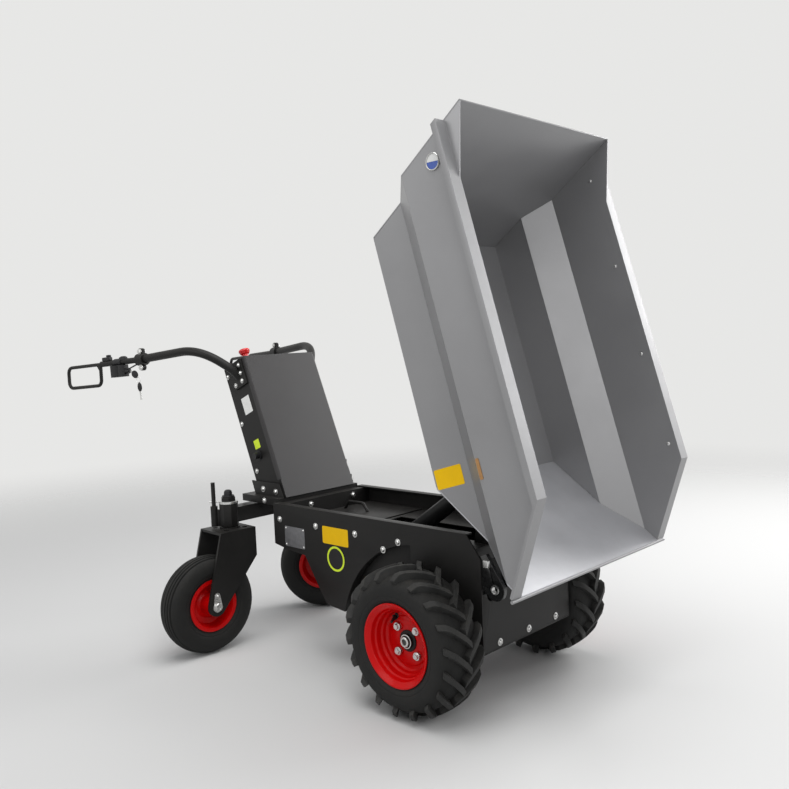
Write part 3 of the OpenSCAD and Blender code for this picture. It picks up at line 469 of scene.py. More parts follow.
# Colour or the property that holds it, roughness, tone shift, cloud scale, bump, other values
FINISHES = {
    "tub_paint": ("tub", 0.38, 0.05, 3, 0.05, dict(
        metallic=0.38, vary=0.06, grain=420, dust=0.08)),
    # Lighter copy of the tub paint for the chute: painted light where it faces the sky.
    "chute_paint": ("chute", 0.33, 0.07, 4, 0.06, dict(
        metallic=0.38, grain=300, stretch=(1, 0.15, 1), dust=0.06)),
    "powder_coat": ("chassis", 0.42, 0.16, 5, 0.12, dict(
        vary=0.07, grain=1400, dust=0.04, specular=0.2)),
    "zinc_plate": ((0.62, 0.62, 0.61), 0.30, 0.1, 60, 0.05, dict(metallic=1, vary=0.1)),
    "black_moulding": ((0.012, 0.012, 0.013), 0.45, 0.12, 30, 0.2, dict(
        grain=2200, specular=0.3)),
    "red_moulding": ((0.66, 0.008, 0.01), 0.28, 0.06, 30, 0.03, dict(coat=0.3)),
    "battery_case": ((0.03, 0.03, 0.032), 0.55, 0.12, 12, 0.2, dict(grain=1500)),
    "black_casting": ((0.03, 0.03, 0.03), 0.6, 0.2, 20, 0.5, dict(grain=500, dust=0.15)),
    "ram_paint": ((0.011, 0.011, 0.011), 0.44, 0.12, 16, 0.06, dict(specular=0.2)),
    "rim_paint": ("rim", 0.32, 0.06, 14, 0.04, dict(
        vary=0.05, grain=500, coat=0.1, specular=0.15)),
    "tyre_rubber": ("rubber", 0.68, 0.22, 22, 0.3, dict(
        vary=0.1, grain=1100, dust=0.07, specular=0.22)),
    # Lighter copy of the tyre rubber for the lugs: painted light on their tops.
    "lug_rubber": ("lug", 0.62, 0.25, 30, 0.3, dict(vary=0.1, dust=0.10, specular=0.25)),
    "label_yellow": ("label", 0.4, 0.04, 20, 0.02, dict(specular=0.15)),
    "label_white": ((0.84, 0.84, 0.82), 0.4, 0.04, 20, 0.02, {}),
    "label_lime": ((0.72, 0.90, 0.05), 0.4, 0.04, 20, 0.02, dict(specular=0.15)),
    "cover_paint": ((0.0275, 0.026, 0.0265), 0.42, 0.14, 3.5, 0.08, dict(
        vary=0.06, grain=1400, specular=0.32)),
    "gloss_black": ((0.012, 0.012, 0.012), 0.2, 0.15, 30, 0.04, dict(coat=0.5)),
    "plate_metal": ((0.24, 0.24, 0.25), 0.36, 0.15, 80, 0.1, dict(
        metallic=0.8, stretch=(0.05, 1, 1))),
    "amber_lens": ((0.40, 0.20, 0.06), 0.34, 0.1, 90, 0.15, dict(grain=700, coat=0.2)),
    "blue_disc": ((0.03, 0.09, 0.42), 0.25, 0.06, 40, 0.02, dict(coat=0.4)),
}
SLOT_FINISH = {
    "tub_grey": "tub_paint", "chassis_black": "powder_coat", "bare_steel": "zinc_plate",
    "plastic_black": "black_moulding", "stop_red": "red_moulding", "battery_case": "battery_case",
    "drive_casting": "black_casting", "ram_black": "ram_paint", "rim_red": "rim_paint",
    "tyre_black": "tyre_rubber",
}
# The chute takes the lighter copy of the tub paint, which is painted light.
NODE_FINISH = {"tub_chute": "chute_paint", "lashing_eye_right": "gloss_black",
               "lashing_eye_left": "gloss_black"}
# Slot and finish of the commonest pieces
PLATED = ("bare_steel", "zinc_plate")
COATED = ("chassis_black", "powder_coat")
MOULDED = ("plastic_black", "black_moulding")
# Starts of the names of round solids, which keep their edges
ROUND_SOLIDS = ("tyre", "ram_rod", "tip_shaft", "beam_pin", "lock_pin", "handlebar",
                "hand_guard", "grip")


class DUMPER_OT_finishes(bpy.types.Operator):
    """Make the finishes and give one to every solid, with softened sheet edges"""
    bl_idname = "dumper.finishes"
    bl_label = "Finishes"

    def execute(self, context):
        look = context.scene.dumper_finish
        build_tone_group()
        build_grain_group()
        build_dust_group()
        for name, (colour, *values, others) in FINISHES.items():
            shown = getattr(look, colour) if isinstance(colour, str) else colour
            finish(name, shown, *values, **others)
        slots = {row["node"]: row["material_slot"] for row in frame["record"]["subparts"]}
        tube_shading = build_round_shading("tube_shading", TUBE_ROUND)
        sheet_shading = build_round_shading("sheet_shading", SHEET_ROUND)
        for name, solid in frame["nodes"].items():
            paint = NODE_FINISH.get(name, SLOT_FINISH[slots[name]])
            solid.data.materials.clear()
            solid.data.materials.append(bpy.data.materials[paint])
            weld = solid.modifiers.new("weld", "WELD")
            weld.merge_threshold = SOLID_MERGE
            is_round = name.startswith(ROUND_SOLIDS)
            if not is_round:
                soft = solid.modifiers.new("soft_edge", "BEVEL")
                soft.width = context.scene.dumper_hardware.edge
                soft.segments = 2
                soft.limit_method = "ANGLE"
                soft.angle_limit = math.radians(SHEET_EDGE)
            shade = solid.modifiers.new("round_shade", "NODES")
            shade.node_group = tube_shading if is_round else sheet_shading
        return {"FINISHED"}


class DUMPER_OT_stage(bpy.types.Operator):
    """Camera, floor and soft studio light"""
    bl_idname = "dumper.stage"
    bl_label = "Stage"

    # Name, place, target, size, power property and share of that power
    lamps = (("key_softbox", (1.1, -0.5, 4.6), (0.3, 0.0, 0.5), 4.2, "key", 1.0),
             ("side_softbox", (-1.0, -4.6, 2.8), (-0.2, 0.0, 0.7), 3.0, "fill", 1.05),
             ("front_softbox", (3.9, -2.4, 2.6), (0.2, 0.0, 0.8), 2.4, "fill", 0.8),
             ("far_softbox", (1.1, 3.8, 2.6), (0.4, 0.0, 0.5), 2.6, "fill", 2.6),
             ("edge_softbox", (2.9, 3.3, 1.8), (0.3, 0.0, 0.9), 1.6, "fill", 0.7))
    room_tint = (0.95, 0.97, 1.0, 1)
    # Camera's place from the axle's foot, its turns, and its focal length in pixels of the image
    eye = (1.5476, -1.9278, 1.0049)
    yaw, pitch, roll = (math.degrees(turn) for turn in (0.7686, 0.0644, 0.0437))
    focal, image_width, sensor = 858.27, 789, 36
    # Half the floor's side, its drop below the wheels, and where it fades away
    floor_half, floor_drop = 30, 0.0005
    fade_start, fade_end = 1.3, 5.5

    def execute(self, context):
        scene = context.scene
        stage = scene.dumper_stage
        scene.view_settings.view_transform = "Standard"
        self.camera(scene)
        self.floor(scene, stage)
        for lamp in self.lamps:
            self.lamp(scene, stage, *lamp)
        self.room(scene, stage)
        return {"FINISHED"}

    def room(self, scene, stage):
        """Even room light; the camera and mirrors see the pale backdrop instead."""
        world = bpy.data.worlds.new("studio_room")
        scene.world = world
        world.use_nodes = True
        tree = world.node_tree
        light = tree.nodes["Background"]
        feed(tree, light, {"Color": self.room_tint, "Strength": stage.sky})
        shown = put(tree, "Background", {"Color": (*stage.backdrop, 1)})
        path = put(tree, "LightPath")
        seen = path["Is Camera Ray"]
        for ray in ("Is Glossy Ray", "Is Transmission Ray"):
            seen = put(tree, "Math", {0: seen, 1: path[ray]}, use_clamp=True)["Value"]
        pick = put(tree, "MixShader", {0: seen, 1: light.outputs["Background"],
                                       2: shown["Background"]})
        feed(tree, tree.nodes["World Output"], {"Surface": pick["Shader"]})

    def camera(self, scene):
        """Camera at the photograph's viewing angle."""
        lens = bpy.data.cameras.new("photo_camera")
        lens.sensor_fit = "HORIZONTAL"
        lens.sensor_width = self.sensor
        lens.lens = self.sensor * self.focal / self.image_width
        camera = bpy.data.objects.new("photo_camera", lens)
        camera.matrix_world = (shifted(*spot(*self.eye)) @ spun(self.yaw, "Z")
                               @ spun(90 - self.pitch, "X") @ spun(-self.roll, "Z"))
        scene.collection.objects.link(camera)
        scene.camera = camera

    def floor(self, scene, stage):
        """Pale floor that fades into the backdrop far from the part."""
        bm = bmesh.new()
        bmesh.ops.create_grid(bm, x_segments=8, y_segments=8, size=self.floor_half)
        mesh = bpy.data.meshes.new("studio_floor")
        bm.to_mesh(mesh)
        bm.free()
        floor = bpy.data.objects.new("studio_floor", mesh)
        floor.location.z = -self.floor_drop
        scene.collection.objects.link(floor)
        material = bpy.data.materials.new("studio_floor")
        material.use_nodes = True
        tree = material.node_tree
        shader = tree.nodes["Principled BSDF"]
        feed(tree, shader, {"Base Color": (*stage.floor, 1), "Roughness": 0.9,
                            "Specular IOR Level": 0.1})
        far = put(tree, "VectorMath", {0: put(tree, "TexCoord")["Object"]}, operation="LENGTH")
        fade = put(tree, "MapRange", {"Value": far["Value"], "From Min": self.fade_start,
                                      "From Max": self.fade_end}, interpolation_type="SMOOTHSTEP")
        blend = put(tree, "MixShader", {0: fade["Result"], 1: shader.outputs["BSDF"],
                                        2: put(tree, "BsdfTransparent")["BSDF"]})
        feed(tree, tree.nodes["Material Output"], {"Surface": blend["Shader"]})
        mesh.materials.append(material)

    @staticmethod
    def lamp(scene, stage, name, place, target, size, power, share):
        """Round softbox that looks at its target."""
        light = bpy.data.lights.new(name, "AREA")
        light.shape = "DISK"
        light.size = size
        light.energy = share * getattr(stage, power)
        lamp = bpy.data.objects.new(name, light)
        lamp.location = place
        lamp.rotation_euler = (lamp.location - Vector(target)).to_track_quat("Z", "Y").to_euler()
        scene.collection.objects.link(lamp)


class DUMPER_OT_chassis_bolts(bpy.types.Operator):
    """Plated bolts of the chassis, console and brackets, and the bushes of the front lugs"""
    bl_idname = "dumper.chassis_bolts"
    bl_label = "Chassis bolts"

    # (x, z) on both flanks, and the distance of those that stand off the chassis and console
    flank = ((-0.665, 0.434), (-0.487, 0.432), (-0.309, 0.430), (-0.131, 0.429), (-0.192, 0.399))
    console = ((-0.982, 0.895), (-0.914, 0.732), (-0.842, 0.572))
    feet = ((-0.806, 0.514), (-0.738, 0.510))
    feet_y = 0.1583
    shelf = ((-0.775, 0.481),)
    shelf_y = 0.180
    bracket = ((-0.906, 0.938), (-0.897, 0.911), (-0.889, 0.884), (-0.926, 0.867))
    bracket_y = 0.162
    # Rows across the machine: kind of head, x, z, the way it looks along X, and the y places
    rows = ((button_bolt, 0.165, 0.184, 1, (-0.133, 0.0, 0.133)),
            (button_bolt, -0.661, 0.462, 1, (-0.072, 0.123)),
            (hex_bolt, -0.702, 0.462, -1, (-0.12, 0.12)))
    # A lug's hole and nut, back and down from its top front corner
    hole = (0.030, 0.090)
    nut = (0.051, 0.024)
    nut_rise = 0.0045
    bush = ((8.6, -11), (8.6, 1.4), (9.8, 2.0), (12.4, 1.8), (13.0, 0.4), (11.2, -0.2),
            (10.8, -11))

    def execute(self, context):
        size = context.scene.dumper_hardware
        bolt, screw = size.bolt / MM, size.screw / MM
        bolts = Piece("chassis_bolts")
        for points, y, radius in ((self.flank, SIDE_Y, bolt), (self.feet, self.feet_y, bolt),
                                  (self.shelf, self.shelf_y, bolt),
                                  (self.bracket, self.bracket_y, screw),
                                  (self.console, CONSOLE_HALF, screw)):
            for place in side_places(points, y):
                bolts.add(button_bolt(radius), place)
        for head, x, z, way, row in self.rows:
            for y in row:
                bolts.add(head(bolt), facing(spot(x, y, z), (way, 0, 0)))
        for side, turn in SIDES.items():
            low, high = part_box("lashing_eye_" + side)
            face = low[1] if turn < 0 else high[1]
            for shape, (back, down), rise in (
                    (turned(self.bush, 32), self.hole, 0.0),
                    (block((16, 19, 10), 1.6), self.nut, self.nut_rise)):
                seat = Vector((high[0] - back, face + turn * rise, high[2] - down))
                bolts.add(shape, facing(seat, (0, turn, 0)))
        bolts.done("chassis", *PLATED)
        return {"FINISHED"}


class DUMPER_OT_console_front(bpy.types.Operator):
    """Folded front sheet of the console with its rounded side folds"""
    bl_idname = "dumper.console_front"
    bl_label = "Console front"

    # Clearance, sheet, fold radius, side lip and foot in millimetres; the foot's lift in metres
    gap, sheet, bend, lip, foot = 0.2, 2.5, 6.5, 14, 66
    lift = 0.001

    def execute(self, context):
        half, gap, sheet, bend, lip = CONSOLE_HALF / MM, self.gap, self.sheet, self.bend, self.lip
        x, y = sheet - bend, half + sheet - bend
        inner, outer = half + gap, half + sheet
        outline = [(-lip, -outer), *arc(x, -y, bend, 270, 360, 8), *arc(x, y, bend, 0, 90, 8),
                   (-lip, outer), (-lip, inner), (gap, inner), (gap, -inner), (-lip, -inner)]
        cover = Piece("console_front")
        cover.add(prism(outline, CONSOLE_LEN / MM - self.foot, 0.4, 1),
                  console_place(self.foot * MM))
        apron = [(gap, -half), (sheet, -half), (sheet, half), (gap, half)]
        cover.add(prism(apron, self.foot, 0.4, 1), console_place(self.lift))
        cover.done("chassis", "chassis_black", "cover_paint")
        return {"FINISHED"}


class DUMPER_OT_plates(bpy.types.Operator):
    """Blank data plate and blank labels"""
    bl_idname = "dumper.plates"
    bl_label = "Plates and labels"

    # (x, z) on the right flank, then a place along, across and above the tub's floor
    data_spot = (-0.592, 0.383)
    label_spot = (-0.398, 0.411)
    seal_spot = (-0.399, 0.341)
    tub_spot = (-0.123, -0.270, 0.029)
    rivet = ((0, 2.2), (2.2, 1.8), (3.4, 0))
    rivet_x, rivet_y, rivet_seat = 0.043, 0.027, 0.0011
    band = ((32.5, 0.4), (32.5, 0.9), (39, 0.9), (39, 0.4), (32.5, 0.4))
    # Name, (x, z), width, height and finish of the console's labels
    console = (("console_label_white", (-0.8785, 0.800), 46, 60, "label_white"),
               ("console_label_lime", (-0.8335, 0.666), 30, 31, "label_lime"))

    @staticmethod
    def on_right(point, y=SIDE_Y, up=(0, 0, 1)):
        """Place on the right flank, looking outwards."""
        return facing(spot(point[0], -y, point[1]), (0, -1, 0), up)

    @staticmethod
    def sticker(name, width, height, radius, place, body, slot, look):
        """Thin blank label with round corners."""
        film = prism(rounded(width, height, radius), 0.5, 0)
        Piece(name).add(film, place).done(body, slot, look)

    def execute(self, context):
        flank = self.on_right(self.data_spot)
        Piece("data_plate").add(prism(rounded(98, 66, 4), 1.2, 0.3), flank).done(
            "chassis", "bare_steel", "plate_metal")
        rivets = Piece("data_plate_rivets")
        for x in (-self.rivet_x, self.rivet_x):
            for y in (-self.rivet_y, self.rivet_y):
                rivets.add(turned(self.rivet, 12), flank @ shifted(x, y, self.rivet_seat))
        rivets.done("chassis", *PLATED)
        self.sticker("flank_label", 116, 54, 5, self.on_right(self.label_spot),
                     "chassis", "plastic_black", "label_yellow")
        seal = self.on_right(self.seal_spot)
        Piece("round_label").add(turned([(0, 0.5), (42, 0.5), (42, 0)], 48), seal).done(
            "chassis", *MOULDED)
        Piece("round_label_band").add(turned(self.band, 48), seal).done(
            "chassis", "plastic_black", "label_lime")
        for name, point, width, height, look in self.console:
            self.sticker(name, width, height, 2, self.on_right(point, CONSOLE_HALF, LEAN_UP),
                         "chassis", "plastic_black", look)
        wall = tub_place(*self.tub_spot) @ spun(90, "X")
        self.sticker("tub_label", 52, 94, 4, wall, "tub", "tub_grey", "label_yellow")
        return {"FINISHED"}


class DUMPER_OT_tub_trim(bpy.types.Operator):
    """Two-tone disc, amber reflector, rivets and chute hem of the tub"""
    bl_idname = "dumper.tub_trim"
    bl_label = "Tub trim"

    # Places along, across and above the tub's floor
    disc_spot = (-0.8606, -0.337, 0.2894)
    lens_spot = (-0.121, -0.337, 0.188)
    ring = ((18.5, 0), (21.5, 0), (21.5, 4), (20.5, 5), (18.5, 4))
    # Name, start of the half and finish of the disc's faces, and the turn of their parting line
    faces = (("disc_face_white", 0, "label_white"), ("disc_face_blue", 180, "blue_disc"))
    face_turn = 74
    rivet = ((0, 2.6), (3, 2.3), (5.2, 1.0), (5.6, -0.3))
    rivet_spots = ((-0.8685, 0.320), (-0.602, 0.3205), (-0.336, 0.323), (-0.070, 0.326))
    # Inner and outer face of a wall, and the way its rivet looks
    wall_faces = ((0.333, 1), (0.337, -1))
    hem = [(193.5, y, 208.5) for y in (-370.5, -330, 0, 330, 370.5)]

    def execute(self, context):
        upright = spun(90, "X")
        disc = tub_place(*self.disc_spot) @ upright
        Piece("disc_ring").add(turned(self.ring, 40), disc).done("tub", *PLATED)
        for name, start, look in self.faces:
            half = prism(arc(0, 0, 18.6, start, start + 180, 24), 3.2, 0.5)
            Piece(name).add(half, disc @ spun(self.face_turn, "Z")).done("tub", "bare_steel", look)
        rivets = Piece("tub_rivets")
        for turn in SIDES.values():
            for u, w in self.rivet_spots:
                for y, way in self.wall_faces:
                    seat = tub_place(u, turn * y, w) @ spun(way * turn * 90, "X")
                    rivets.add(turned(self.rivet, 14), seat)
        rivets.done("tub", *PLATED)
        Piece("chute_hem").add(pipe(self.hem, 4.2, 16), tub_place(0, 0, 0)).done(
            "tub", "tub_grey", "tub_paint")
        lens = prism(rounded(52, 10, 3), 1.8, 0.5)
        Piece("amber_reflector").add(lens, tub_place(*self.lens_spot) @ upright).done(
            "tub", "plastic_black", "amber_lens")
        return {"FINISHED"}


class DUMPER_OT_tyres(bpy.types.Operator):
    """Lugged drive tyres and ribbed caster tyres"""
    bl_idname = "dumper.tyres"
    bl_label = "Tyres"

    # Lugs in a row, the turn of a lug from end to end, and half the angle it spans
    lugs = 18
    turn = math.radians(21)
    wide = math.asin(10.5 * MM / DRIVE_Z)
    # Shares of that half angle at a lug's top and base, and the height its base stays under
    top_share, base_share, base_height = 0.88, 1.15, 54
    # Top radius, height, base radius and share of the turn along a lug, from mid tread to sidewall
    stations = ((203.6, -8, 181, 0.0), (203.6, 12, 180, 0.29), (202.8, 32, 177, 0.52),
                (199.5, 52, 169, 0.76), (193.5, 64.5, 160, 0.89), (176.5, 75.2, 153, 1.0))
    # Half sections, as radius and height from the middle plane
    carcass = ((99.7, 61.7), (114.5, 64.7), (116.5, 66.5), (121, 70.5), (128, 72.5), (131, 71.6),
               (135, 73.3), (148, 74.2), (158, 73), (165.5, 69), (173, 61.5), (179, 52),
               (183, 40), (185.5, 20), (186, 0))
    ribbed = ((75.7, 35.7), (88.5, 37.7), (92.5, 41.5), (98, 45.5), (101, 45), (103.5, 47.5),
              (112, 49.7), (126, 49.5), (138, 46.5), (146.5, 41.5), (150.5, 36.5), (152, 33),
              (148.5, 31.8), (148.5, 29.2), (155, 28), (156.5, 22), (152.5, 21),
              (152.5, 18.4), (158, 17.4), (159.2, 10.5), (155, 9.6), (155, 7), (159.8, 6),
              (160, 0))

    def execute(self, context):
        for side in SIDES:
            self.drive(side)
            self.caster(side)
        return {"FINISHED"}

    @staticmethod
    def ring(half):
        """Closed tyre section turned about the axle, from its one half."""
        return turned([*half, *((r, -z) for r, z in reversed(half[:-1])), half[0]], 108)

    def section(self, station, row, hand):
        """Four corners of a lug at one station."""
        top, z, low, share = station
        angle = hand * share * self.turn
        upper, lower = self.top_share * self.wide, self.base_share * self.wide
        sunk = min(z, self.base_height)
        corners = ((top, z, angle - upper), (top, z, angle + upper),
                   (low, sunk, angle + lower), (low, sunk, angle - lower))
        return [Vector((r * math.cos(a), r * math.sin(a), row * h)) for r, h, a in corners]

    def lug(self, row, hand):
        """One slanted lug, from the tread's middle over the shoulder."""
        shape = loft([self.section(station, row, hand) for station in self.stations])
        return soften(shape, 1.3, 2, 40)

    def drive(self, side):
        """Carcass and lugs of a drive tyre; the lugs of its two rows are staggered."""
        hand, place, body = -SIDES[side], wheel_place(side), "drive_wheel_" + side
        Piece("drive_tread_" + side).add(self.ring(self.carcass), place).done(
            body, "tyre_black", "tyre_rubber", ("drive_tyre_" + side,))
        lugs = Piece("drive_lugs_" + side)
        for row, shift in ((1, 0.0), (-1, 0.5)):
            for i in range(self.lugs):
                angle = hand * ((i + shift) * 2 * math.pi / self.lugs - math.pi / 2 - self.wide)
                lugs.add(self.lug(row, hand), place @ Matrix.Rotation(angle, 4, "Z"))
        # The lugs take the lighter copy of the tyre rubber, which is painted light on their tops.
        lugs.done(body, "tyre_black", "lug_rubber")

    def caster(self, side):
        """Ribbed tyre of a caster."""
        place = swivel_place(side) @ shifted(-CASTER_TRAIL, 0, CASTER_Z) @ spun(90, "X")
        Piece("caster_tread_" + side).add(self.ring(self.ribbed), place).done(
            "caster_wheel_" + side, "tyre_black", "tyre_rubber", ("caster_tyre_" + side,))


class DUMPER_OT_wheel_hardware(bpy.types.Operator):
    """Bolts, hub plates, hub rings and valves of the drive wheels"""
    bl_idname = "dumper.wheel_hardware"
    bl_label = "Wheel hardware"

    bolt_circle, bolt_start, bolt_radius, bolt_seat = 0.0475, 45, 8.0, 0.007
    stud = ((9.8, -0.4), (9.8, 2.2), (5.6, 2.8), (5.6, 8))
    hub = ((15.3, -0.4), (29, -0.4), (29, 2.8), (27.2, 4.2), (20, 4.6), (19.4, 9.8), (15.3, 10.2))
    outer_ring = ((16.6, 10), (19.2, 10), (19.2, 11.4), (17.8, 12), (16.6, 11.8), (16.6, 10))
    inner_ring = ((13.8, 15.2), (13.8, 16.8), (12.2, 18), (8.8, 18), (8, 16.6), (8, 15.2))
    valve_turn, valve_lean, valve_spot = 129, -24, (0.0735, 0, -0.0032)
    eye = ((0, 1.2), (6.2, 1.4), (7, 3), (10.5, 3.2), (11.8, 1.6), (11.8, -0.4))
    stem = ((4.8, 1), (4.4, 16), (3.6, 18), (3.6, 28), (0, 28.5))

    def execute(self, context):
        count = context.scene.dumper_hardware.wheel_bolts
        for side in SIDES:
            body, place = "drive_wheel_" + side, wheel_place(side) @ shifted(0, 0, HUB_FACE)
            bolts = Piece("wheel_bolts_" + side)
            for i in range(count):
                spin = spun(self.bolt_start + 360 * i / count, "Z")
                seat = place @ spin @ shifted(self.bolt_circle, 0, 0)
                bolts.add(turned(self.stud, 20), seat)
                bolts.add(hex_bolt(self.bolt_radius), seat @ shifted(0, 0, self.bolt_seat))
            bolts.done(body, *PLATED)
            Piece("hub_plate_" + side).add(turned(self.hub, 40), place).done(
                body, "drive_casting", "ram_paint")
            rings = Piece("hub_rings_" + side).add(turned(self.outer_ring, 40), place)
            rings.add(turned(self.inner_ring, 32), place).done(body, *PLATED)
            port = place @ spun(self.valve_turn, "Z") @ shifted(*self.valve_spot)
            valve = Piece("tyre_valve_" + side).add(turned(self.eye, 24), port)
            valve.add(turned(self.stem, 16), port @ spun(self.valve_lean, "Y"))
            valve.done(body, "tyre_black", "black_moulding")
        return {"FINISHED"}


class DUMPER_OT_caster_hardware(bpy.types.Operator):
    """Axle keepers, swivel rings, caps and lock pins of the casters"""
    bl_idname = "dumper.caster_hardware"
    bl_label = "Caster hardware"

    keeper = arc(0, 0, 17.5, 190, 350, 12) + arc(0, 37, 9.8, 0, 180, 8)
    sleeve = ((10.6, 3), (13.8, 3), (13.8, 9.5), (12.2, 11.2), (8.5, 11.2), (7.8, 10.2), (0, 10.2))
    keeper_bolt, bolt_spot = 5.2, (0, 0.036, 0.004)
    # Heights from the ground
    ring = ((20.5, 485.3), (20.5, 487.5), (29.5, 487.2), (32, 485.5), (32, 479.2), (28.5, 479.2),
            (28.5, 485.3), (20.5, 485.3))
    cap = ((20.4, 503), (19.6, 505.5), (14.2, 506), (13.6, 515), (11.8, 520.5), (7, 523.8),
           (0, 524.5))
    tip = ((7.1, 403.2), (8.8, 403.4), (9.2, 406), (8.6, 410), (7.1, 410.4))
    cross_pin = ((0, -16), (2.4, -15.5), (2.4, 15.5), (0, 16))
    lock_reach, cross_height, cross_way = 0.035, 0.484, (0.72, -0.69)

    def execute(self, context):
        for side, out in SIDES.items():
            body, place = "caster_fork_" + side, swivel_place(side)
            keepers = Piece("axle_keepers_" + side)
            for turn in (-1, 1):
                foot = Vector((-CASTER_TRAIL, turn * CASTER_LEG, CASTER_Z))
                leg = place @ facing(foot, (0, turn, 0))
                keepers.add(prism(self.keeper, 4, 0.8), leg).add(turned(self.sleeve, 28), leg)
                keepers.add(button_bolt(self.keeper_bolt), leg @ shifted(*self.bolt_spot))
            keepers.done(body, *PLATED)
            Piece("swivel_ring_" + side).add(turned(self.ring, 40), place).done(body, *PLATED)
            Piece("swivel_cap_" + side).add(turned(self.cap, 32), place).done(
                body, "chassis_black", "black_moulding")
            lock = spot(SWIVEL.x - self.lock_reach, out * (SWIVEL.y + self.lock_reach), 0)
            way = (self.cross_way[0], out * self.cross_way[1], 0)
            pins = Piece("lock_cross_pin_" + side)
            pins.add(turned(self.cross_pin, 12),
                     facing(lock + Vector((0, 0, self.cross_height)), way))
            pins.add(turned(self.tip, 20), Matrix.Translation(lock))
            pins.done("chassis", *PLATED)
        return {"FINISHED"}


class DUMPER_OT_handlebars(bpy.types.Operator):
    """Bent handlebar tubes, welded to their bracket plates"""
    bl_idname = "dumper.handlebars"
    bl_label = "Handlebars"

    # Way of the left tube from its weld to the clamp, with the bend's run at each corner
    weld = Vector((-0.911, 0.145, 0.886))
    corners = ((Vector((-0.919, 0.176, 0.923)), 0.022), (Vector((-0.9977, 0.2575, 1.0015)), 0.092))
    bend_steps = 12
    tube_radius, tube_sides = 15, 28
    # Plate's reference point on the console, its size, and its middle from that point
    root_x, root_z = -0.9077, 0.9129
    plate, plate_corner, plate_thick, plate_shift = (74, 92), 3, 8, (-7, -4)

    def execute(self, context):
        for side, turn in SIDES.items():
            way = [spot(p.x, turn * p.y, p.z) / MM for p in self.way()]
            tube = pipe(way, self.tube_radius, self.tube_sides)
            Piece("bar_tube_" + side).add(tube, Matrix()).done(
                "chassis", *COATED, ("handlebar_" + side,))
            ahead, above = self.plate_shift
            outline = [(-turn * (x + ahead), y + above)
                       for x, y in rounded(*self.plate, self.plate_corner)]
            root = spot(self.root_x, turn * CONSOLE_HALF, self.root_z)
            seat = facing(root, (0, turn, 0), LEAN_UP)
            Piece("bracket_plate_" + side).add(prism(outline, self.plate_thick, 1), seat).done(
                "chassis", *COATED, ("bar_bracket_" + side,))
        return {"FINISHED"}

    def way(self):
        """Points of the left tube's middle line, bent smoothly at its corners."""
        points = [self.weld]
        ends = [self.weld, *(corner for corner, run in self.corners), BAR_END]
        for (corner, run), before, after in zip(self.corners, ends, ends[2:]):
            start = corner + run * (before - corner).normalized()
            end = corner + run * (after - corner).normalized()
            for i in range(self.bend_steps + 1):
                share = i / self.bend_steps
                points.append(start.lerp(corner, share).lerp(corner.lerp(end, share), share))
        return points + [BAR_END]


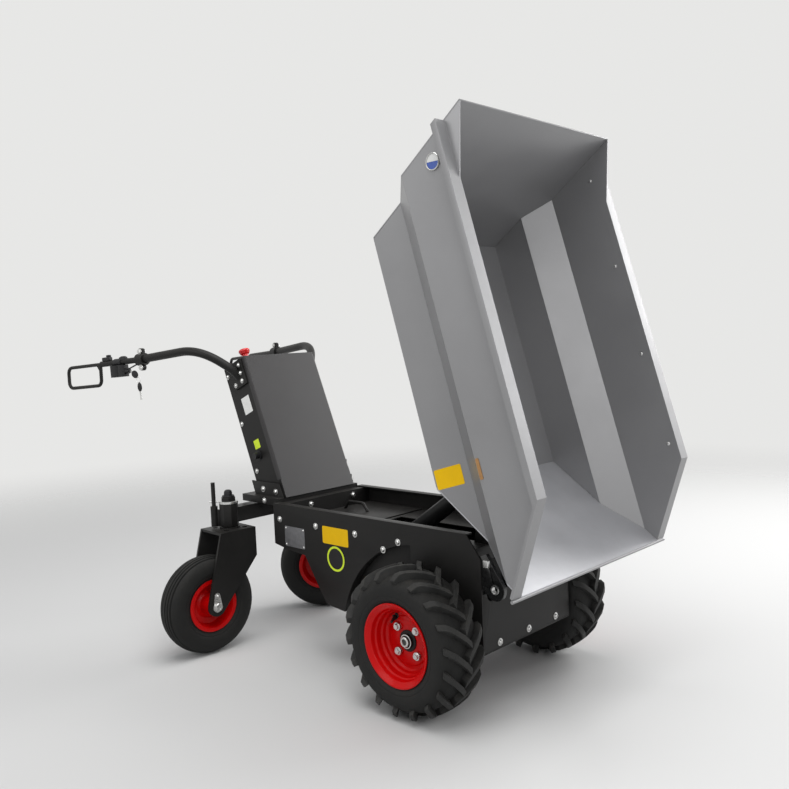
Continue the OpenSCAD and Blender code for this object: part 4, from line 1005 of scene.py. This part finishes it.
class DUMPER_OT_handle_controls(bpy.types.Operator):
    """Clamp bolts, thumb lever, rocker dome and keys on the handlebars"""
    bl_idname = "dumper.handle_controls"
    bl_label = "Handle controls"

    # Middle of the clamp along the grip, its ears above and below, and the bolts' seats
    clamp, ear_rise, bolt_seat = -0.019, 0.029, 0.0084
    ear = ((0, -8.5), (10.5, -8.5), (11.8, -7.2), (11.8, 7.2), (10.5, 8.5), (0, 8.5))
    web, web_thick = ((-4, 4), (28, 4), (4, -30), (-4, -30)), 5
    dome = ((0, 11.5), (8, 10.8), (14.5, 7.5), (17.5, 1), (17.5, -4))
    collar = ((11.3, -21), (13.4, -20.5), (13.8, -18), (13.8, 18), (13.4, 20.5), (11.3, 21),
              (11.3, -21))
    lever = ((2, 4, -15), (22, 5, -20.5), (42, 6, -26.5), (58, 6, -30.5), (74, 6, -33))
    fob = ((0, 4), (6, 3.9), (9.8, 2.6), (11.2, 0), (9.8, -2.6), (6, -3.9), (0, -4))
    link = ((10, -0.9), (10.9, 0), (10, 0.9), (9.1, 0), (10, -0.9))

    def execute(self, context):
        bolts, ears, corners = Piece("clamp_bolts"), Piece("clamp_ears"), Piece("guard_gussets")
        for side in SIDES:
            out = spun(180, "Z") if side == "left" else Matrix()
            for rise in (-self.ear_rise, self.ear_rise):
                seat = grip_place(side, self.clamp) @ out @ shifted(0, 0, rise)
                ears.add(turned(self.ear, 24), seat @ spun(-90, "X"))
                for turn, size in ((1, 7.5), (-1, 6.2)):
                    end = facing(Vector((0, turn * self.bolt_seat, 0)), (0, turn, 0))
                    bolts.add(hex_bolt(size), seat @ end)
            corner = grip_place(side, GRIP_REACH) @ spun(90, "X")
            corners.add(prism(self.web, self.web_thick, 0.8),
                        corner @ shifted(0, 0, -self.web_thick * MM / 2))
        bolts.done("chassis", *PLATED)
        ears.done("chassis", *COATED)
        corners.done("chassis", *COATED)
        self.thumb_controls()
        self.keys()
        return {"FINISHED"}

    def thumb_controls(self):
        """Dome, collar, rocker and brake lever of the right grip."""
        top = Piece("thumb_controls")
        top.add(turned(self.dome, 28), grip_place("right", 0.086, 0.0095) @ drawn(1.35, 0.62))
        top.add(turned(self.collar, 28), grip_place("right", 0.112) @ spun(90, "Y"))
        top.add(block((42, 19, 15), 4, 3), grip_place("right", 0.178, 0.0165))
        top.add(block((18, 12, 9), 3, 3), grip_place("right", 0.168, 0.0275))
        top.add(pipe(self.lever, 2.6), grip_place("right", 0.0))
        top.done("chassis", *MOULDED)

    def keys(self):
        """Key in its switch, with a second key that hangs from its ring."""
        aside = math.degrees(math.atan2(-BAR_DIR.y, BAR_DIR.x))
        hang = shifted(*grip_place("right", 0.032).translation) @ spun(aside, "Z")
        side_on = spun(90, "X")
        first = hang @ shifted(-0.006, 0, -0.051) @ spun(-18, "Y")
        low = hang @ shifted(-0.030, 0.001, -0.098) @ spun(6, "Y")
        grips = Piece("key_fobs").add(turned(self.fob, 28), first @ side_on @ drawn(1.6, 1.25))
        grips.add(turned(self.fob, 28), low @ side_on @ drawn(0.95, 1.25 * 1.25))
        grips.done("chassis", *MOULDED)
        metal = Piece("key_blades")
        metal.add(block((8.5, 2.2, 34), 0.5, 1), low @ shifted(0, 0, -0.030))
        metal.add(block((22, 2.2, 8), 0.5, 1), first @ shifted(0.022, 0, 0.003))
        metal.add(turned(self.link, 28), hang @ shifted(-0.024, 0, -0.072) @ side_on)
        metal.done("chassis", *PLATED)


STEPS = ("stage", "finishes", "chassis_bolts", "console_front", "plates", "tub_trim",
         "tyres", "wheel_hardware", "caster_hardware", "handlebars", "handle_controls")


class DUMPER_PT_panel(bpy.types.Panel):
    """Dressing steps and their values"""
    bl_idname = "DUMPER_PT_panel"
    bl_label = "Site dumper"
    bl_space_type = "VIEW_3D"
    bl_region_type = "UI"
    bl_category = "Dumper"

    def draw(self, context):
        scene = context.scene
        for step in STEPS:
            self.layout.operator("dumper." + step)
        for group in (scene.dumper_finish, scene.dumper_hardware, scene.dumper_stage):
            for key in group.bl_rna.properties.keys():
                if key not in ("rna_type", "name"):
                    self.layout.prop(group, key)


CLASSES = (DumperFinish, DumperHardware, DumperStage, DUMPER_OT_stage, DUMPER_OT_finishes,
           DUMPER_OT_chassis_bolts, DUMPER_OT_console_front, DUMPER_OT_plates,
           DUMPER_OT_tub_trim, DUMPER_OT_tyres, DUMPER_OT_wheel_hardware,
           DUMPER_OT_caster_hardware, DUMPER_OT_handlebars, DUMPER_OT_handle_controls,
           DUMPER_PT_panel)


def register():
    for cls in CLASSES:
        bpy.utils.register_class(cls)
    bpy.types.Scene.dumper_finish = PointerProperty(type=DumperFinish)
    bpy.types.Scene.dumper_hardware = PointerProperty(type=DumperHardware)
    bpy.types.Scene.dumper_stage = PointerProperty(type=DumperStage)


def unregister():
    del bpy.types.Scene.dumper_stage
    del bpy.types.Scene.dumper_hardware
    del bpy.types.Scene.dumper_finish
    for cls in reversed(CLASSES):
        bpy.utils.unregister_class(cls)


def main():
    register()
    for step in STEPS:
        getattr(bpy.ops.dumper, step)()


if __name__ == "__main__":
    main()
